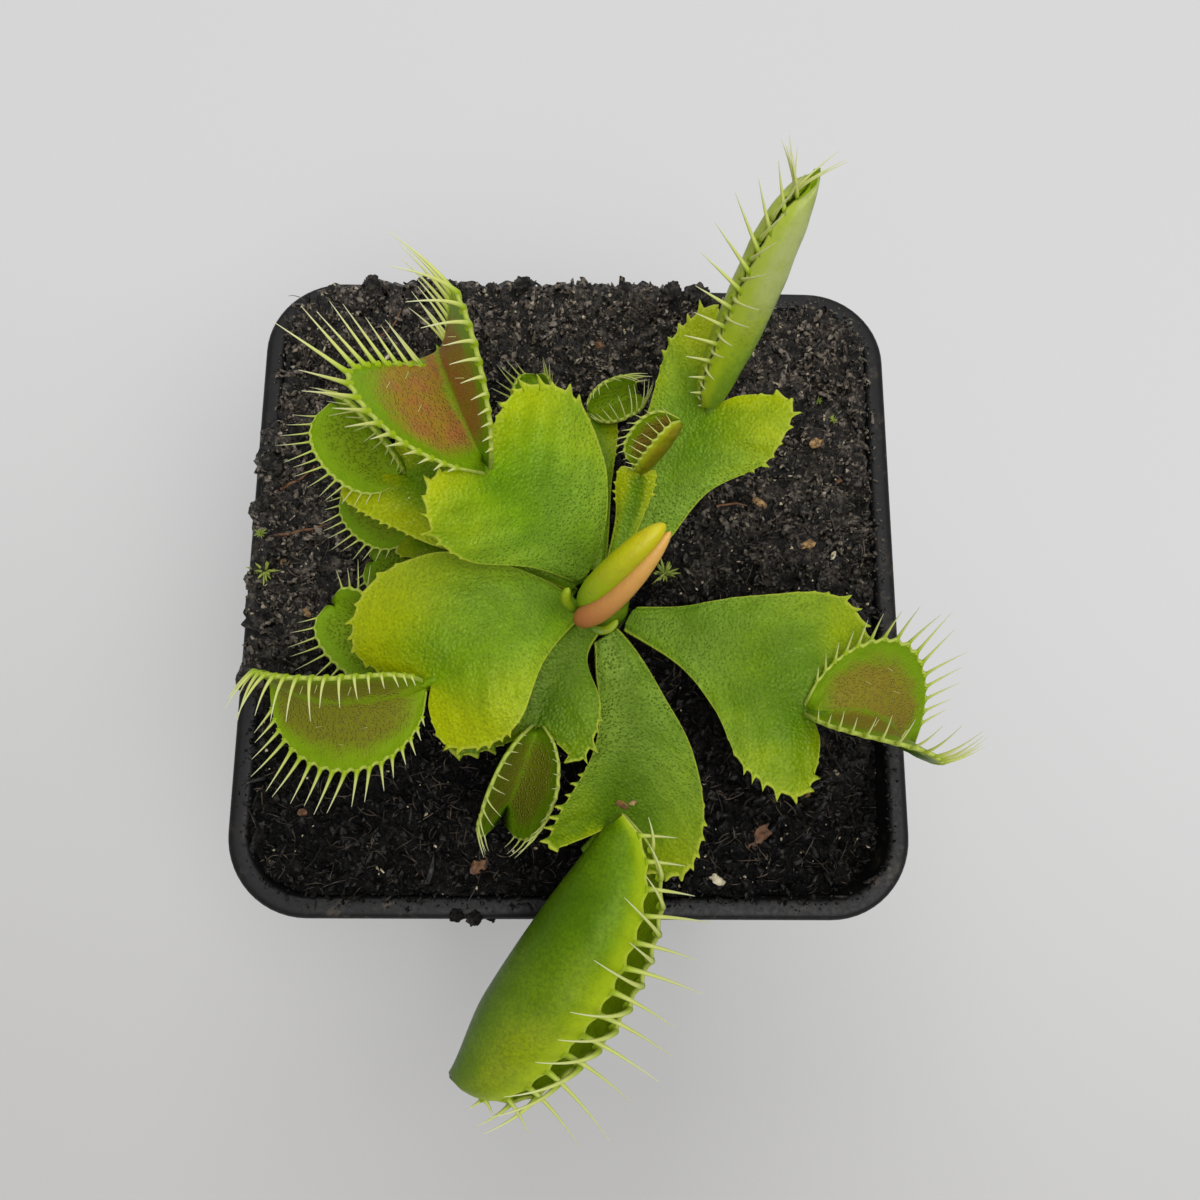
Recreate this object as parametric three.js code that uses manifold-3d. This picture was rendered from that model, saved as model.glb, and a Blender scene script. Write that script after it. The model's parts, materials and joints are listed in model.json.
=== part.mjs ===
// Potted Venus flytrap: a rosette of thirteen grown leaves and one rolled young leaf on a short
// rhizome, in peat, in a square plastic nursery pot. Millimetres, +Z up, +Y away from the viewer.
// The origin is the centre of the pot's underside. Heights written as h are above the pot's rim.
import * as THREE from "three";
import Module from "manifold-3d";
import { mergeVertices } from "three/addons/utils/BufferGeometryUtils.js";

const wasm = await Module();
wasm.setup();

// ---- driving dimensions -------------------------------------------------------------------------

const GAP = 0.3; // clearance between pieces that touch on the real plant

const POT = {
  height: 65,
  topWidth: 70, // outside the rim
  baseWidth: 50,
  wall: 0.9,
  floor: 1.4,
  topCorner: 8.5, // corner radius at the rim
  baseCorner: 6,
  rimWidth: 2.1, // of the flat rolled edge
  rimDrop: 2.4,
  collarDrop: 12, // the stacking step below the rim
  collarStep: 0.8,
  cornerSteps: 5,
};

const DRAIN = { cornerRadius: 3, cornerInset: 10, sideRadius: 2.4, sideInset: 7.5 };

const CROWN = { x: 3, y: -3, radius: 2.6, topH: 8, flareDepth: 5, bulbRadius: 4, bulbDepth: 9, endDepth: 15 };

const ROOT = { count: 4, radius: 1.1, tipRadius: 0.5, length: 34, spread: 13, sides: 6 };

const SOIL = {
  cornerSteps: 3, sideSteps: 8, rings: [0.97, 0.92, 0.86, 0.79, 0.72, 0.64, 0.55, 0.44, 0.32, 0.17],
  back: 3.4, left: 2.6, corner: 2.8, noise: 0.75, spill: 3.2,
};

const BLADE = { thickness: 0.7, baseThickness: 1.2, toothLength: 0.75, toothWidth: 0.55, toothTip: 0.3 };

const LOBE = { thickness: 0.6, hingeThickness: 0.8, ciliumWidth: 0.62, ciliumThickness: 0.5, ciliumTip: 0.24 };

const NECK = { radius: 0.6, reach: 1.1, sides: 6, stand: 0.7 };

const COLOUR = { pot: 0x16171a, soil: 0x1d1815, rhizome: 0xcfc79a, leaf: 0x6f9a1f, young: 0xb7a23c };

// ---- leaves -------------------------------------------------------------------------------------
// base: [azimuth in degrees round the crown, h]; mid and neck: [x, y, h] on the leaf's midrib.
// right and left: the blade's outline as [share of the midrib's length, distance from the midrib].
// valley is the blade's V slope, arch its downward curl in 1/mm, roll its sideways tilt in degrees,
// droop the fall of the shoulders past the neck in 1/mm.
// trap: tip [x, y, h] of its midrib; mouth the way it opens; depth of the right lobe and the left;
// lobes their angles from the mouth, [at the hinge, at the margin]; bow the sag of the midrib as a
// share of its length; flare how far the margin runs on past [the neck, the tip], as such a share;
// cilia [length, inward lean of the right lobe's and the left lobe's, spread along the margin], perCell
// of them to each cell. Full is how blunt the lobes' two ends are, where it isn't LOBE_FULLNESS.

const LEAVES = {
  leaf_back_left: {
    base: [138, 7], mid: [-3.1, 2.6, 12.5], neck: [-8.7, 7.1, 18.1], rows: 9,
    right: [[0, 1.1], [0.2, 5.2], [0.55, 9.3], [0.9, 10.3], [1.13, 7], [1.1, 2.6]],
    left: [[0, 1.1], [0.3, 3.6], [0.65, 7.8], [0.95, 8.2], [1.16, 5], [1.08, 1.8]],
    valley: 0.1, arch: 0.012, roll: 4, droop: 0.02,
    trap: {
      tip: [-13.6, 19.5, 15.7], mouth: [-0.3, -0.2, 0.93], depth: [13.8, 12], lobes: [[36, 28], [42, 13]],
      bow: -0.09, full: 0.9, flare: [0.19, -0.23], cells: 9, perCell: 2, cilia: [6.6, 60, -8, 0.6],
    },
  },
  leaf_left: {
    base: [205, 6.6], mid: [-7.3, -7.4, 10.2], neck: [-13.8, -12.5, 9.1], rows: 9,
    right: [[0, 1.1], [0.3, 5.3], [0.6, 10.2], [0.92, 11.5], [1.2, 7.8], [1.1, 2.4]],
    left: [[0, 1.1], [0.33, 4.3], [0.7, 8.3], [1, 8.2], [1.2, 5], [1.12, 1.6]],
    valley: 0.1, arch: 0.014, roll: 0, droop: 0.02,
    trap: {
      tip: [-30.3, -11.7, 5.4], mouth: [0.07, -0.86, 0.51], depth: [9.2, 7.9], lobes: [[73, 53], [67, 16]],
      bow: -0.12, full: 0.7, flare: [0.01, 0], cells: 9, perCell: 2, cilia: [4.8, 70, 4, 0.6],
    },
  },
  leaf_front_left: {
    base: [243, 4.8], mid: [-1.3, -10.1, 6.7], neck: [-3.7, -16.2, 6.5], rows: 7,
    right: [[0, 1], [0.5, 3], [0.9, 5.8], [1.22, 8.2], [1.42, 7], [1.18, 1.8]],
    left: [[0, 1], [0.3, 1.9], [0.64, 5.2], [0.95, 5.7], [1.16, 5], [1.04, 1.6]],
    valley: 0.18, arch: 0.01, roll: 0, droop: 0.02,
    trap: {
      tip: [-6.5, -23.2, 1.2], mouth: [0.22, -0.23, 0.95], depth: [8.1, 6.7], lobes: [[48, 12], [46, 3]],
      bow: -0.05, flare: [0.16, 0.3], cells: 7, perCell: 2, cilia: [2.6, 40, 40, 0.7],
    },
  },
  leaf_front: {
    base: [274, 2.8], mid: [5.8, -15.5, 3.4], neck: [2.8, -26.4, 10.2], rows: 9,
    right: [[0, 1.3], [0.15, 2.6], [0.6, 3.4], [1.05, 4.3], [1.2, 3.7], [1.1, 1.6]],
    left: [[0, 1.3], [0.3, 3.4], [0.52, 6.3], [0.78, 8.7], [1, 8.4], [1.08, 4.4]],
    valley: 0.08, arch: 0.012, roll: 0, droop: 0.01,
    trap: {
      tip: [-11.7, -47.8, 3], mouth: [0.87, -0.35, 0.34], depth: [12.3, 13.1], lobes: [[69, -58], [57, -38]],
      bow: 0.025, full: 0.9, flare: [0.12, 0.02], cells: 9, perCell: 2, cilia: [7, -60, 74, 0.5],
    },
  },
  leaf_right: {
    base: [330, 3.2], mid: [15.9, -10.5, 8], neck: [23.2, -15.2, 8.8], rows: 9,
    right: [[0, 1.3], [0.37, 2.5], [0.6, 4.6], [0.87, 8], [1.16, 7], [1.1, 1.8]],
    left: [[0, 1.3], [0.22, 3.4], [0.5, 7.6], [0.85, 11.8], [1.06, 8.6], [1.04, 2.6]],
    valley: 0.1, arch: 0.014, roll: 0, droop: 0.02,
    trap: {
      tip: [32.7, -17.7, 5.2], mouth: [0.25, 0.62, 0.74], depth: [9.9, 8.7], lobes: [[67, 57], [48, 9]],
      bow: -0.19, full: 0.82, flare: [0.21, 0.17], cells: 8, perCell: 2, cilia: [4.8, 50, 8, 0.6],
    },
  },
  leaf_back_right: {
    base: [58, 2.6], mid: [9.4, 9.5, 7], neck: [13.7, 16.2, 10.1], rows: 8,
    right: [[0, 1.3], [0.3, 3], [0.6, 4.3], [0.95, 7.9], [1.26, 6.2], [1.14, 1.8]],
    left: [[0, 1.3], [0.4, 3.1], [0.85, 5.4], [1.17, 7.5], [1.43, 6], [1.16, 1.6]],
    valley: 0.1, arch: 0.012, roll: 0, droop: 0.01,
    trap: {
      tip: [20, 28.4, 33], mouth: [-0.75, -0.55, 0.37], depth: [6.5, 6.4], lobes: [[76, -50], [86, -51]],
      bow: 0.04, full: 0.72, flare: [0.01, -0.08], cells: 7, perCell: 2, cilia: [3.8, 22, 42, 0.4],
    },
  },
  leaf_far_left: {
    base: [152, 5], mid: [-9.6, 4.6, 8], neck: [-17.4, 8.6, 9.1], rows: 6,
    right: [[0, 0.9], [0.5, 2.6], [0.85, 4.4], [1.12, 4], [1.08, 1.4]],
    left: [[0, 0.9], [0.4, 3], [0.75, 5.2], [1.25, 4.2], [1.14, 1.4]],
    valley: 0.08, arch: 0.01, roll: 0, droop: 0.03,
    trap: {
      tip: [-24, 15.6, 9.9], mouth: [-0.35, -0.5, 0.8], depth: [6, 6], lobes: [[60, 10], [62, 26]],
      bow: 0.03, flare: [0.1, 0.1], cells: 7, perCell: 2, cilia: [3.6, 8, 8, 0.5],
    },
  },
  leaf_low_left_rear: {
    base: [170, 3.6], mid: [-8.6, 1.8, 5], neck: [-16.8, 4.4, 3.6], rows: 4,
    right: [[0, 0.8], [0.5, 1.4], [0.9, 2.8], [1.08, 2.6], [1.06, 1]],
    left: [[0, 0.8], [0.5, 1.4], [0.9, 2.8], [1.08, 2.6], [1.06, 1]],
    valley: 0.08, arch: 0.01, roll: 0, droop: 0.03,
    trap: {
      tip: [-23.2, 9.6, 3], mouth: [-0.35, -0.35, 0.9], depth: [4.2, 4.6], lobes: [[84, 64], [82, 54]],
      bow: 0, flare: [0.08, 0.1], cells: 6, perCell: 2, cilia: [2.4, 6, 6, 0.5],
    },
  },
  leaf_low_left_middle: {
    base: [191, 1.8], mid: [-6, -2.8, 1.9], neck: [-13.8, -0.4, 0.9], rows: 4,
    right: [[0, 0.8], [0.5, 1.4], [0.9, 2.6], [1.08, 2.4], [1.06, 1]],
    left: [[0, 0.8], [0.5, 1.4], [0.9, 2.6], [1.08, 2.4], [1.06, 1]],
    valley: 0.08, arch: 0.01, roll: 0, droop: 0.03,
    trap: {
      tip: [-21.4, 1.8, 0.7], mouth: [-0.05, -0.15, 0.97], depth: [3.8, 4.2], lobes: [[88, 78], [80, 52]],
      bow: 0, flare: [0.08, 0.1], cells: 6, perCell: 2, cilia: [2.2, 6, 6, 0.5],
    },
  },
  leaf_low_left_front: {
    base: [221, 2.8], mid: [-9, -8, 3.2], neck: [-17.4, -10, 2.8], rows: 4,
    right: [[0, 0.8], [0.5, 1.5], [0.9, 2.8], [1.08, 2.6], [1.06, 1]],
    left: [[0, 0.8], [0.5, 1.5], [0.9, 2.8], [1.08, 2.6], [1.06, 1]],
    valley: 0.08, arch: 0.01, roll: 0, droop: 0.03,
    trap: {
      tip: [-24.7, -3.7, 2.8], mouth: [-0.4, -0.25, 0.85], depth: [4.4, 4.8], lobes: [[84, 62], [70, 40]],
      bow: 0.03, flare: [0.08, 0.1], cells: 6, perCell: 2, cilia: [3.4, 4, 4, 0.5],
    },
  },
  leaf_rear: {
    base: [106, 4.3], mid: [2.1, 8, 5], neck: [0.8, 17.4, 4.3], rows: 4,
    right: [[0, 0.8], [0.5, 1.6], [0.9, 3.2], [1.1, 2.8], [1.06, 1]],
    left: [[0, 0.8], [0.5, 1.4], [0.9, 2.6], [1.08, 2.4], [1.06, 1]],
    valley: 0.08, arch: 0.01, roll: 0, droop: 0.03,
    trap: {
      tip: [6.1, 20.3, 3.6], mouth: [0.1, -0.2, 0.95], depth: [4.2, 4], lobes: [[60, 10], [58, 6]],
      bow: 0, flare: [0.06, 0.08], cells: 6, perCell: 2, cilia: [2.2, 14, 14, 0.5],
    },
  },
  leaf_rear_left: {
    base: [134, 1.9], mid: [-3.2, 7.4, 3.2], neck: [-4.2, 14.6, 3.6], rows: 4,
    right: [[0, 0.8], [0.5, 1.3], [0.9, 2.2], [1.08, 2], [1.06, 1]],
    left: [[0, 0.8], [0.5, 1.4], [0.9, 2.6], [1.08, 2.4], [1.06, 1]],
    valley: 0.08, arch: 0.01, roll: 0, droop: 0.03,
    trap: {
      tip: [-5, 20.6, 4.6], mouth: [-0.05, 0.2, 0.95], depth: [3.8, 4], lobes: [[56, 4], [62, 22]],
      bow: 0.03, flare: [0.06, 0.08], cells: 6, perCell: 2, cilia: [2.8, 4, 4, 0.6],
    },
  },
  leaf_small_rear: {
    base: [74, 5.5], mid: [5.4, 4.6, 7.6], neck: [6.4, 9, 10], rows: 4,
    right: [[0, 0.8], [0.5, 1.1], [0.9, 1.6], [1.05, 1.4], [1.04, 0.8]],
    left: [[0, 0.8], [0.5, 1.4], [0.85, 2.2], [1.02, 2], [1.02, 0.8]],
    valley: 0.08, arch: 0.01, roll: 0, droop: 0.03,
    trap: {
      tip: [10, 12.6, 14.6], mouth: [-0.7, -0.1, 0.7], depth: [4.2, 4.2], lobes: [[66, -30], [66, -8]],
      bow: 0.05, flare: [0.04, 0.06], cells: 5, perCell: 2, cilia: [2, 10, 10, 0.5],
    },
  },
};

// The rolled young leaf: a stalk from the crown's top, and two folds lying side by side.
const YOUNG = {
  stalk: [[3, -3.2, 8.8], [2, -4.6, 11], [1.4, -6, 13.6]],
  stalkRadius: 0.8,
  upperFold: [[0.6, -5.4, 12.6], [3.6, -3, 17.2], [8.1, 0.4, 20.4]],
  lowerFold: [[-0.1, -6.9, 12.4], [3.9, -5.2, 15.4], [7.6, -1.2, 18.8]],
  foldRadius: 1.45,
  steps: 8,
  sides: 8,
};

// ---- small helpers ------------------------------------------------------------------------------

const UP = new THREE.Vector3(0, 0, 1);
const radians = THREE.MathUtils.degToRad;
const rimPoint = ([x, y, h]) => new THREE.Vector3(x, y, POT.height + h);

function smoothstep(low, high, x) {
  const t = Math.min(1, Math.max(0, (x - low) / (high - low)));
  return t * t * (3 - 2 * t);
}

// A closed mesh from points and triangles, and the same as a solid that can be joined and cut.
function geometryOf(points, triangles) {
  const geometry = new THREE.BufferGeometry().setFromPoints(points);
  geometry.setIndex(triangles.flat());
  return geometry;
}

function solidOf(geometry) {
  const bare = geometry.clone();
  bare.deleteAttribute("normal");
  bare.deleteAttribute("uv");
  const merged = mergeVertices(bare, 1e-4);
  return new wasm.Manifold(
    new wasm.Mesh({
      numProp: 3,
      vertProperties: new Float32Array(merged.attributes.position.array),
      triVerts: new Uint32Array(merged.index.array),
    }),
  );
}

function geometryFrom(solid) {
  const mesh = solid.getMesh();
  const position = new Float32Array(mesh.numVert * 3);
  for (let i = 0; i < mesh.numVert; i++) {
    position.set(mesh.vertProperties.subarray(i * mesh.numProp, i * mesh.numProp + 3), i * 3);
  }
  const geometry = new THREE.BufferGeometry();
  geometry.setAttribute("position", new THREE.BufferAttribute(position, 3));
  geometry.setIndex(new THREE.BufferAttribute(mesh.triVerts, 1));
  geometry.computeVertexNormals();
  return geometry;
}

// Rings of equally many points, joined in order and closed with a fan at each end.
function loft(rings) {
  const size = rings[0].length;
  const points = rings.flat();
  const triangles = [];
  for (let r = 0; r + 1 < rings.length; r++) {
    for (let k = 0; k < size; k++) {
      const a = r * size + k;
      const b = r * size + ((k + 1) % size);
      triangles.push([a, b, b + size], [a, b + size, a + size]);
    }
  }
  const centre = (ring) => ring.reduce((sum, p) => sum.add(p), new THREE.Vector3()).divideScalar(size);
  const first = points.push(centre(rings[0])) - 1;
  const last = points.push(centre(rings.at(-1))) - 1;
  const top = (rings.length - 1) * size;
  for (let k = 0; k < size; k++) {
    triangles.push([first, (k + 1) % size, k], [last, top + k, top + ((k + 1) % size)]);
  }
  return geometryOf(points, triangles);
}

// A tapering tube along a curve, with round ends left flat.
function taperedTube(curve, radiusAt, steps, sides) {
  const frames = curve.computeFrenetFrames(steps);
  const rings = [];
  for (let i = 0; i <= steps; i++) {
    const centre = curve.getPointAt(i / steps);
    rings.push(
      Array.from({ length: sides }, (_, k) => {
        const angle = (2 * Math.PI * k) / sides;
        return centre
          .clone()
          .addScaledVector(frames.normals[i], radiusAt(i / steps) * Math.cos(angle))
          .addScaledVector(frames.binormals[i], radiusAt(i / steps) * Math.sin(angle));
      }),
    );
  }
  return loft(rings);
}

// ---- sheets: leaf blades and trap lobes ---------------------------------------------------------
// A sheet is a surface of vertices, each with a normal and half its thickness there. Each side of the
// midrib is a grid of rows (along the midrib) and columns (out to the edge), edged with spikes.

class Sheet {
  constructor() {
    this.vertices = [];
    this.triangles = [];
  }

  vertex(point, normal, thickness) {
    return this.vertices.push({ point, normal, half: thickness / 2 }) - 1;
  }

  triangle(side, a, b, c) {
    if (a === b || b === c || a === c) return;
    this.triangles.push(side > 0 ? [a, b, c] : [a, c, b]);
  }

  // One side of the midrib: grid[row][column]; spikes[row] lists the teeth between row and row + 1.
  addSide(side, grid, spikes) {
    for (let i = 0; i + 1 < grid.length; i++) {
      const near = grid[i];
      const far = grid[i + 1];
      const last = near.length - 1;
      for (let j = 0; j + 1 < last; j++) {
        this.triangle(side, near[j], near[j + 1], far[j + 1]);
        this.triangle(side, near[j], far[j + 1], far[j]);
      }
      const edge = [near[last]];
      for (const spike of spikes[i] ?? []) {
        this.triangle(side, spike.from, spike.tip, spike.to);
        edge.push(spike.from, spike.to);
      }
      edge.push(far[last]);
      const middle = Math.floor(edge.length / 2);
      for (let k = 0; k + 1 < edge.length; k++) {
        this.triangle(side, k < middle ? near[last - 1] : far[last - 1], edge[k], edge[k + 1]);
      }
      this.triangle(side, near[last - 1], edge[middle], far[last - 1]);
    }
  }

  // The sheet's two faces and the wall along its free edge.
  solid() {
    const count = this.vertices.length;
    const offset = (v, sign) => v.point.clone().addScaledVector(v.normal, sign * v.half);
    const points = [...this.vertices.map((v) => offset(v, 1)), ...this.vertices.map((v) => offset(v, -1))];
    const triangles = [];
    const edges = new Set();
    for (const [a, b, c] of this.triangles) {
      triangles.push([a, b, c], [a + count, c + count, b + count]);
      for (const [p, q] of [[a, b], [b, c], [c, a]]) edges.add(`${p},${q}`);
    }
    for (const edge of edges) {
      const [p, q] = edge.split(",").map(Number);
      if (edges.has(`${q},${p}`)) continue;
      triangles.push([q, p, p + count], [q, p + count, q + count]);
    }
    return solidOf(geometryOf(points, triangles));
  }
}

// Points evenly spaced along the smooth curve through the given ones.
function evenlyAlong(points, count) {
  const curve = new THREE.CatmullRomCurve3(
    points.map(([x, y]) => new THREE.Vector3(x, y, 0)),
    false,
    "centripetal",
  );
  return curve.getSpacedPoints(count);
}

// ---- a leaf's blade -----------------------------------------------------------------------------

function leafSpine(leaf) {
  const [azimuth, h] = leaf.base;
  const reach = CROWN.radius + GAP + 0.45;
  const base = rimPoint([
    CROWN.x + reach * Math.cos(radians(azimuth)),
    CROWN.y + reach * Math.sin(radians(azimuth)),
    h,
  ]);
  const mid = rimPoint(leaf.mid);
  const neck = rimPoint(leaf.neck);
  const control = mid.clone().multiplyScalar(2).addScaledVector(base, -0.5).addScaledVector(neck, -0.5);
  return new THREE.QuadraticBezierCurve3(base, control, neck);
}

// The blade's point and normal at a distance along the midrib and out from it, right positive.
function bladePoint(leaf, spine, along, out) {
  const length = spine.getLength();
  const share = Math.min(1, Math.max(0, along / length));
  const past = Math.max(0, along - length);
  const tangent = spine.getTangentAt(share);
  const point = spine.getPointAt(share).addScaledVector(tangent, past).addScaledVector(UP, -leaf.droop * past * past);
  const across = new THREE.Vector3(tangent.y, -tangent.x, 0).normalize();
  const normal = new THREE.Vector3().crossVectors(across, tangent).normalize();
  across.applyAxisAngle(tangent, -radians(leaf.roll));
  normal.applyAxisAngle(tangent, -radians(leaf.roll));
  const lift = leaf.valley * Math.abs(out) - leaf.arch * out * out;
  return { point: point.addScaledVector(across, out).addScaledVector(normal, lift), normal };
}

function bladeSolid(leaf, spine) {
  const length = spine.getLength();
  const rows = leaf.rows;
  const columns = 2;
  const sheet = new Sheet();
  const place = (along, out, thickness) => {
    const { point, normal } = bladePoint(leaf, spine, along, out);
    return sheet.vertex(point, normal, thickness);
  };
  const thicknessAt = (share) => BLADE.thickness + (BLADE.baseThickness - BLADE.thickness) * (1 - share) ** 3;
  const midrib = [];
  for (let i = 0; i <= rows; i++) midrib.push(place((length * i) / rows, 0, thicknessAt(i / rows)));
  for (const side of [1, -1]) {
    const outline = side > 0 ? leaf.right : leaf.left;
    const edge = evenlyAlong([...outline.map(([s, w]) => [s * length, w]), [length, 0]], rows);
    const grid = midrib.map((hub, i) => {
      if (i === rows) return Array(columns + 1).fill(hub);
      const row = [hub];
      for (let j = 1; j <= columns; j++) {
        const b = j / columns;
        const along = (1 - b) * ((length * i) / rows) + b * edge[i].x;
        row.push(place(along, side * b * edge[i].y, thicknessAt(i / rows)));
      }
      return row;
    });
    const spikes = [];
    for (let i = Math.floor(rows * 0.42); i < rows - 1; i++) {
      spikes[i] = [0.32, 0.8].map((f) => {
        const step = edge[i + 1].clone().sub(edge[i]);
        const unit = step.clone().normalize();
        const root = edge[i].clone().addScaledVector(step, f);
        const from = root.clone().addScaledVector(unit, -BLADE.toothWidth / 2);
        const to = root.clone().addScaledVector(unit, BLADE.toothWidth / 2);
        const tip = to.clone().add(new THREE.Vector3(-unit.y, unit.x, 0).multiplyScalar(BLADE.toothLength));
        return {
          from: place(from.x, side * from.y, BLADE.thickness),
          tip: place(tip.x, side * tip.y, BLADE.toothTip),
          to: place(to.x, side * to.y, BLADE.thickness),
        };
      });
    }
    sheet.addSide(side, grid, spikes);
  }
  return sheet.solid();
}

// ---- a trap -------------------------------------------------------------------------------------

const END_ANGLE = 0.22; // where the first and last rows of a lobe lie on its margin's half turn
const LOBE_FULLNESS = 0.6; // how blunt the lobe's two ends are

// The trap's frame: start of the midrib, length, and unit vectors along it, towards the mouth, across.
function trapFrame(leaf) {
  const neck = rimPoint(leaf.neck);
  const along = rimPoint(leaf.trap.tip).sub(neck);
  const length = along.length() - NECK.stand;
  along.normalize();
  const mouth = new THREE.Vector3(...leaf.trap.mouth);
  mouth.addScaledVector(along, -mouth.dot(along)).normalize();
  const across = new THREE.Vector3().crossVectors(along, mouth);
  return { start: neck.addScaledVector(along, NECK.stand), length, along, mouth, across };
}

// A point on a lobe: turn runs 0 to pi along the margin, out 0 at the hinge to 1 at the margin.
function lobePoint(trap, frame, side, turn, out) {
  const [hinge, margin] = trap.lobes[side > 0 ? 0 : 1].map(radians);
  const share = 0.5 - 0.5 * Math.cos(turn);
  const depth = trap.depth[side > 0 ? 0 : 1] * Math.sin(turn) ** (trap.full ?? LOBE_FULLNESS);
  const bend = margin - hinge;
  const angle = hinge + bend * out;
  const rise = (depth * (Math.sin(angle) - Math.sin(hinge))) / bend;
  const spread = (depth * (Math.cos(hinge) - Math.cos(angle))) / bend;
  const sag = 4 * trap.bow * frame.length * share * (1 - share);
  const flare = -trap.flare[turn < Math.PI / 2 ? 0 : 1] * frame.length * Math.cos(turn) * out;
  const point = frame.start
    .clone()
    .addScaledVector(frame.along, share * frame.length + flare)
    .addScaledVector(frame.mouth, rise - sag)
    .addScaledVector(frame.across, side * spread);
  const normal = frame.mouth
    .clone()
    .multiplyScalar(out === 0 ? 1 : Math.sin(angle))
    .addScaledVector(frame.across, out === 0 ? 0 : -side * Math.cos(angle));
  return { point, normal, angle };
}

// Values of turn that are evenly spaced along the right lobe's margin.
function marginTurns(trap, frame) {
  const samples = 120;
  const turns = [];
  const lengths = [0];
  let previous = null;
  for (let k = 0; k <= samples; k++) {
    turns.push(END_ANGLE + ((Math.PI - 2 * END_ANGLE) * k) / samples);
    const { point } = lobePoint(trap, frame, 1, turns[k], 1);
    if (previous) lengths.push(lengths.at(-1) + point.distanceTo(previous));
    previous = point;
  }
  return (share) => {
    const target = share * lengths.at(-1);
    const k = Math.max(1, lengths.findIndex((l) => l >= target - 1e-9));
    const f = (target - lengths[k - 1]) / (lengths[k] - lengths[k - 1]);
    return turns[k - 1] + f * (turns[k] - turns[k - 1]);
  };
}

function trapSolid(leaf) {
  const trap = leaf.trap;
  const frame = trapFrame(leaf);
  const sheet = new Sheet();
  const columns = trap.columns ?? 3;
  const turnAt = marginTurns(trap, frame);
  const rightTurns = Array.from({ length: trap.cells + 1 }, (_, i) => turnAt(i / trap.cells));
  const midrib = rightTurns.map((turn) => {
    const { point, normal } = lobePoint(trap, frame, 1, turn, 0);
    return sheet.vertex(point, normal, LOBE.hingeThickness);
  });
  const [ciliumLength, leanRight, leanLeft, fan] = trap.cilia;
  for (const side of [1, -1]) {
    const grid = midrib.map((hub, i) => {
      const row = [hub];
      for (let j = 1; j <= columns; j++) {
        const { point, normal } = lobePoint(trap, frame, side, rightTurns[i], j / columns);
        row.push(sheet.vertex(point, normal, LOBE.thickness));
      }
      return row;
    });
    const spikes = [];
    for (let i = 0; i < trap.cells; i++) {
      spikes[i] = [];
      for (let k = 0; k < trap.perCell; k++) {
        const f = (k + (side > 0 ? 0.3 : 0.7)) / trap.perCell;
        const turn = rightTurns[i] + (rightTurns[i + 1] - rightTurns[i]) * f;
        const step = rightTurns[i + 1] - rightTurns[i];
        const here = lobePoint(trap, frame, side, turn, 1);
        const ahead = lobePoint(trap, frame, side, turn + 0.01, 1).point.sub(here.point).length() / 0.01;
        const halfTurn = Math.min(LOBE.ciliumWidth / 2 / ahead, step * 0.24 / trap.perCell * 2);
        const ends = [-halfTurn, halfTurn].map((d) => lobePoint(trap, frame, side, turn + d, 1));
        const angle = here.angle - radians(side > 0 ? leanRight : leanLeft);
        const reach = ciliumLength * (0.4 + 0.6 * Math.sin(turn)) * (1 - 0.3 * Math.cos(turn));
        const tip = here.point
          .clone()
          .addScaledVector(frame.mouth, reach * Math.cos(angle))
          .addScaledVector(frame.across, side * reach * Math.sin(angle))
          .addScaledVector(frame.along, -fan * reach * Math.cos(turn));
        spikes[i].push({
          from: sheet.vertex(ends[0].point, ends[0].normal, LOBE.ciliumThickness),
          tip: sheet.vertex(tip, here.normal, LOBE.ciliumTip),
          to: sheet.vertex(ends[1].point, ends[1].normal, LOBE.ciliumThickness),
        });
      }
    }
    sheet.addSide(side, grid, spikes);
  }
  return sheet.solid();
}

// The short stalk between the blade's notch and the trap's hinge.
function neckSolid(leaf, spine) {
  const frame = trapFrame(leaf);
  const neck = spine.getPointAt(1);
  const back = neck.clone().addScaledVector(spine.getTangentAt(1), -NECK.reach);
  const front = lobePoint(leaf.trap, frame, 1, END_ANGLE + 0.2, 0).point;
  const curve = new THREE.QuadraticBezierCurve3(back, neck, front);
  return solidOf(taperedTube(curve, () => NECK.radius, 3, NECK.sides));
}

function leafSolid(leaf) {
  const spine = leafSpine(leaf);
  return bladeSolid(leaf, spine).add(neckSolid(leaf, spine)).add(trapSolid(leaf));
}

// ---- the rolled young leaf ----------------------------------------------------------------------

function youngLeafSolid() {
  const curve = (points) => new THREE.CatmullRomCurve3(points.map(rimPoint));
  const fold = (points) =>
    solidOf(
      taperedTube(
        curve(points),
        (share) => YOUNG.foldRadius * Math.max(0.25, Math.sin(Math.PI * (0.08 + 0.84 * share)) ** 0.6),
        YOUNG.steps,
        YOUNG.sides,
      ),
    );
  const stalk = solidOf(taperedTube(curve(YOUNG.stalk), () => YOUNG.stalkRadius, 3, YOUNG.sides));
  return fold(YOUNG.upperFold).add(fold(YOUNG.lowerFold)).add(stalk);
}

// ---- pot ----------------------------------------------------------------------------------------

// A rounded square of the given width and corner radius at height z, counted from above.
function roundedSquare([width, corner], z, cornerSteps, sideSteps = 1) {
  const points = [];
  const origin = new THREE.Vector2();
  const offset = width / 2 - corner;
  for (let c = 0; c < 4; c++) {
    const turn = (c * Math.PI) / 2;
    const add = (x, y) => {
      const p = new THREE.Vector2(x, y).rotateAround(origin, turn);
      points.push(new THREE.Vector3(p.x, p.y, z));
    };
    for (let k = 0; k <= cornerSteps; k++) {
      const angle = (k / cornerSteps) * (Math.PI / 2);
      add(offset + corner * Math.cos(angle), offset + corner * Math.sin(angle));
    }
    for (let k = 1; k < sideSteps; k++) add(offset * (1 - (2 * k) / sideSteps), width / 2);
  }
  return points;
}

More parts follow.
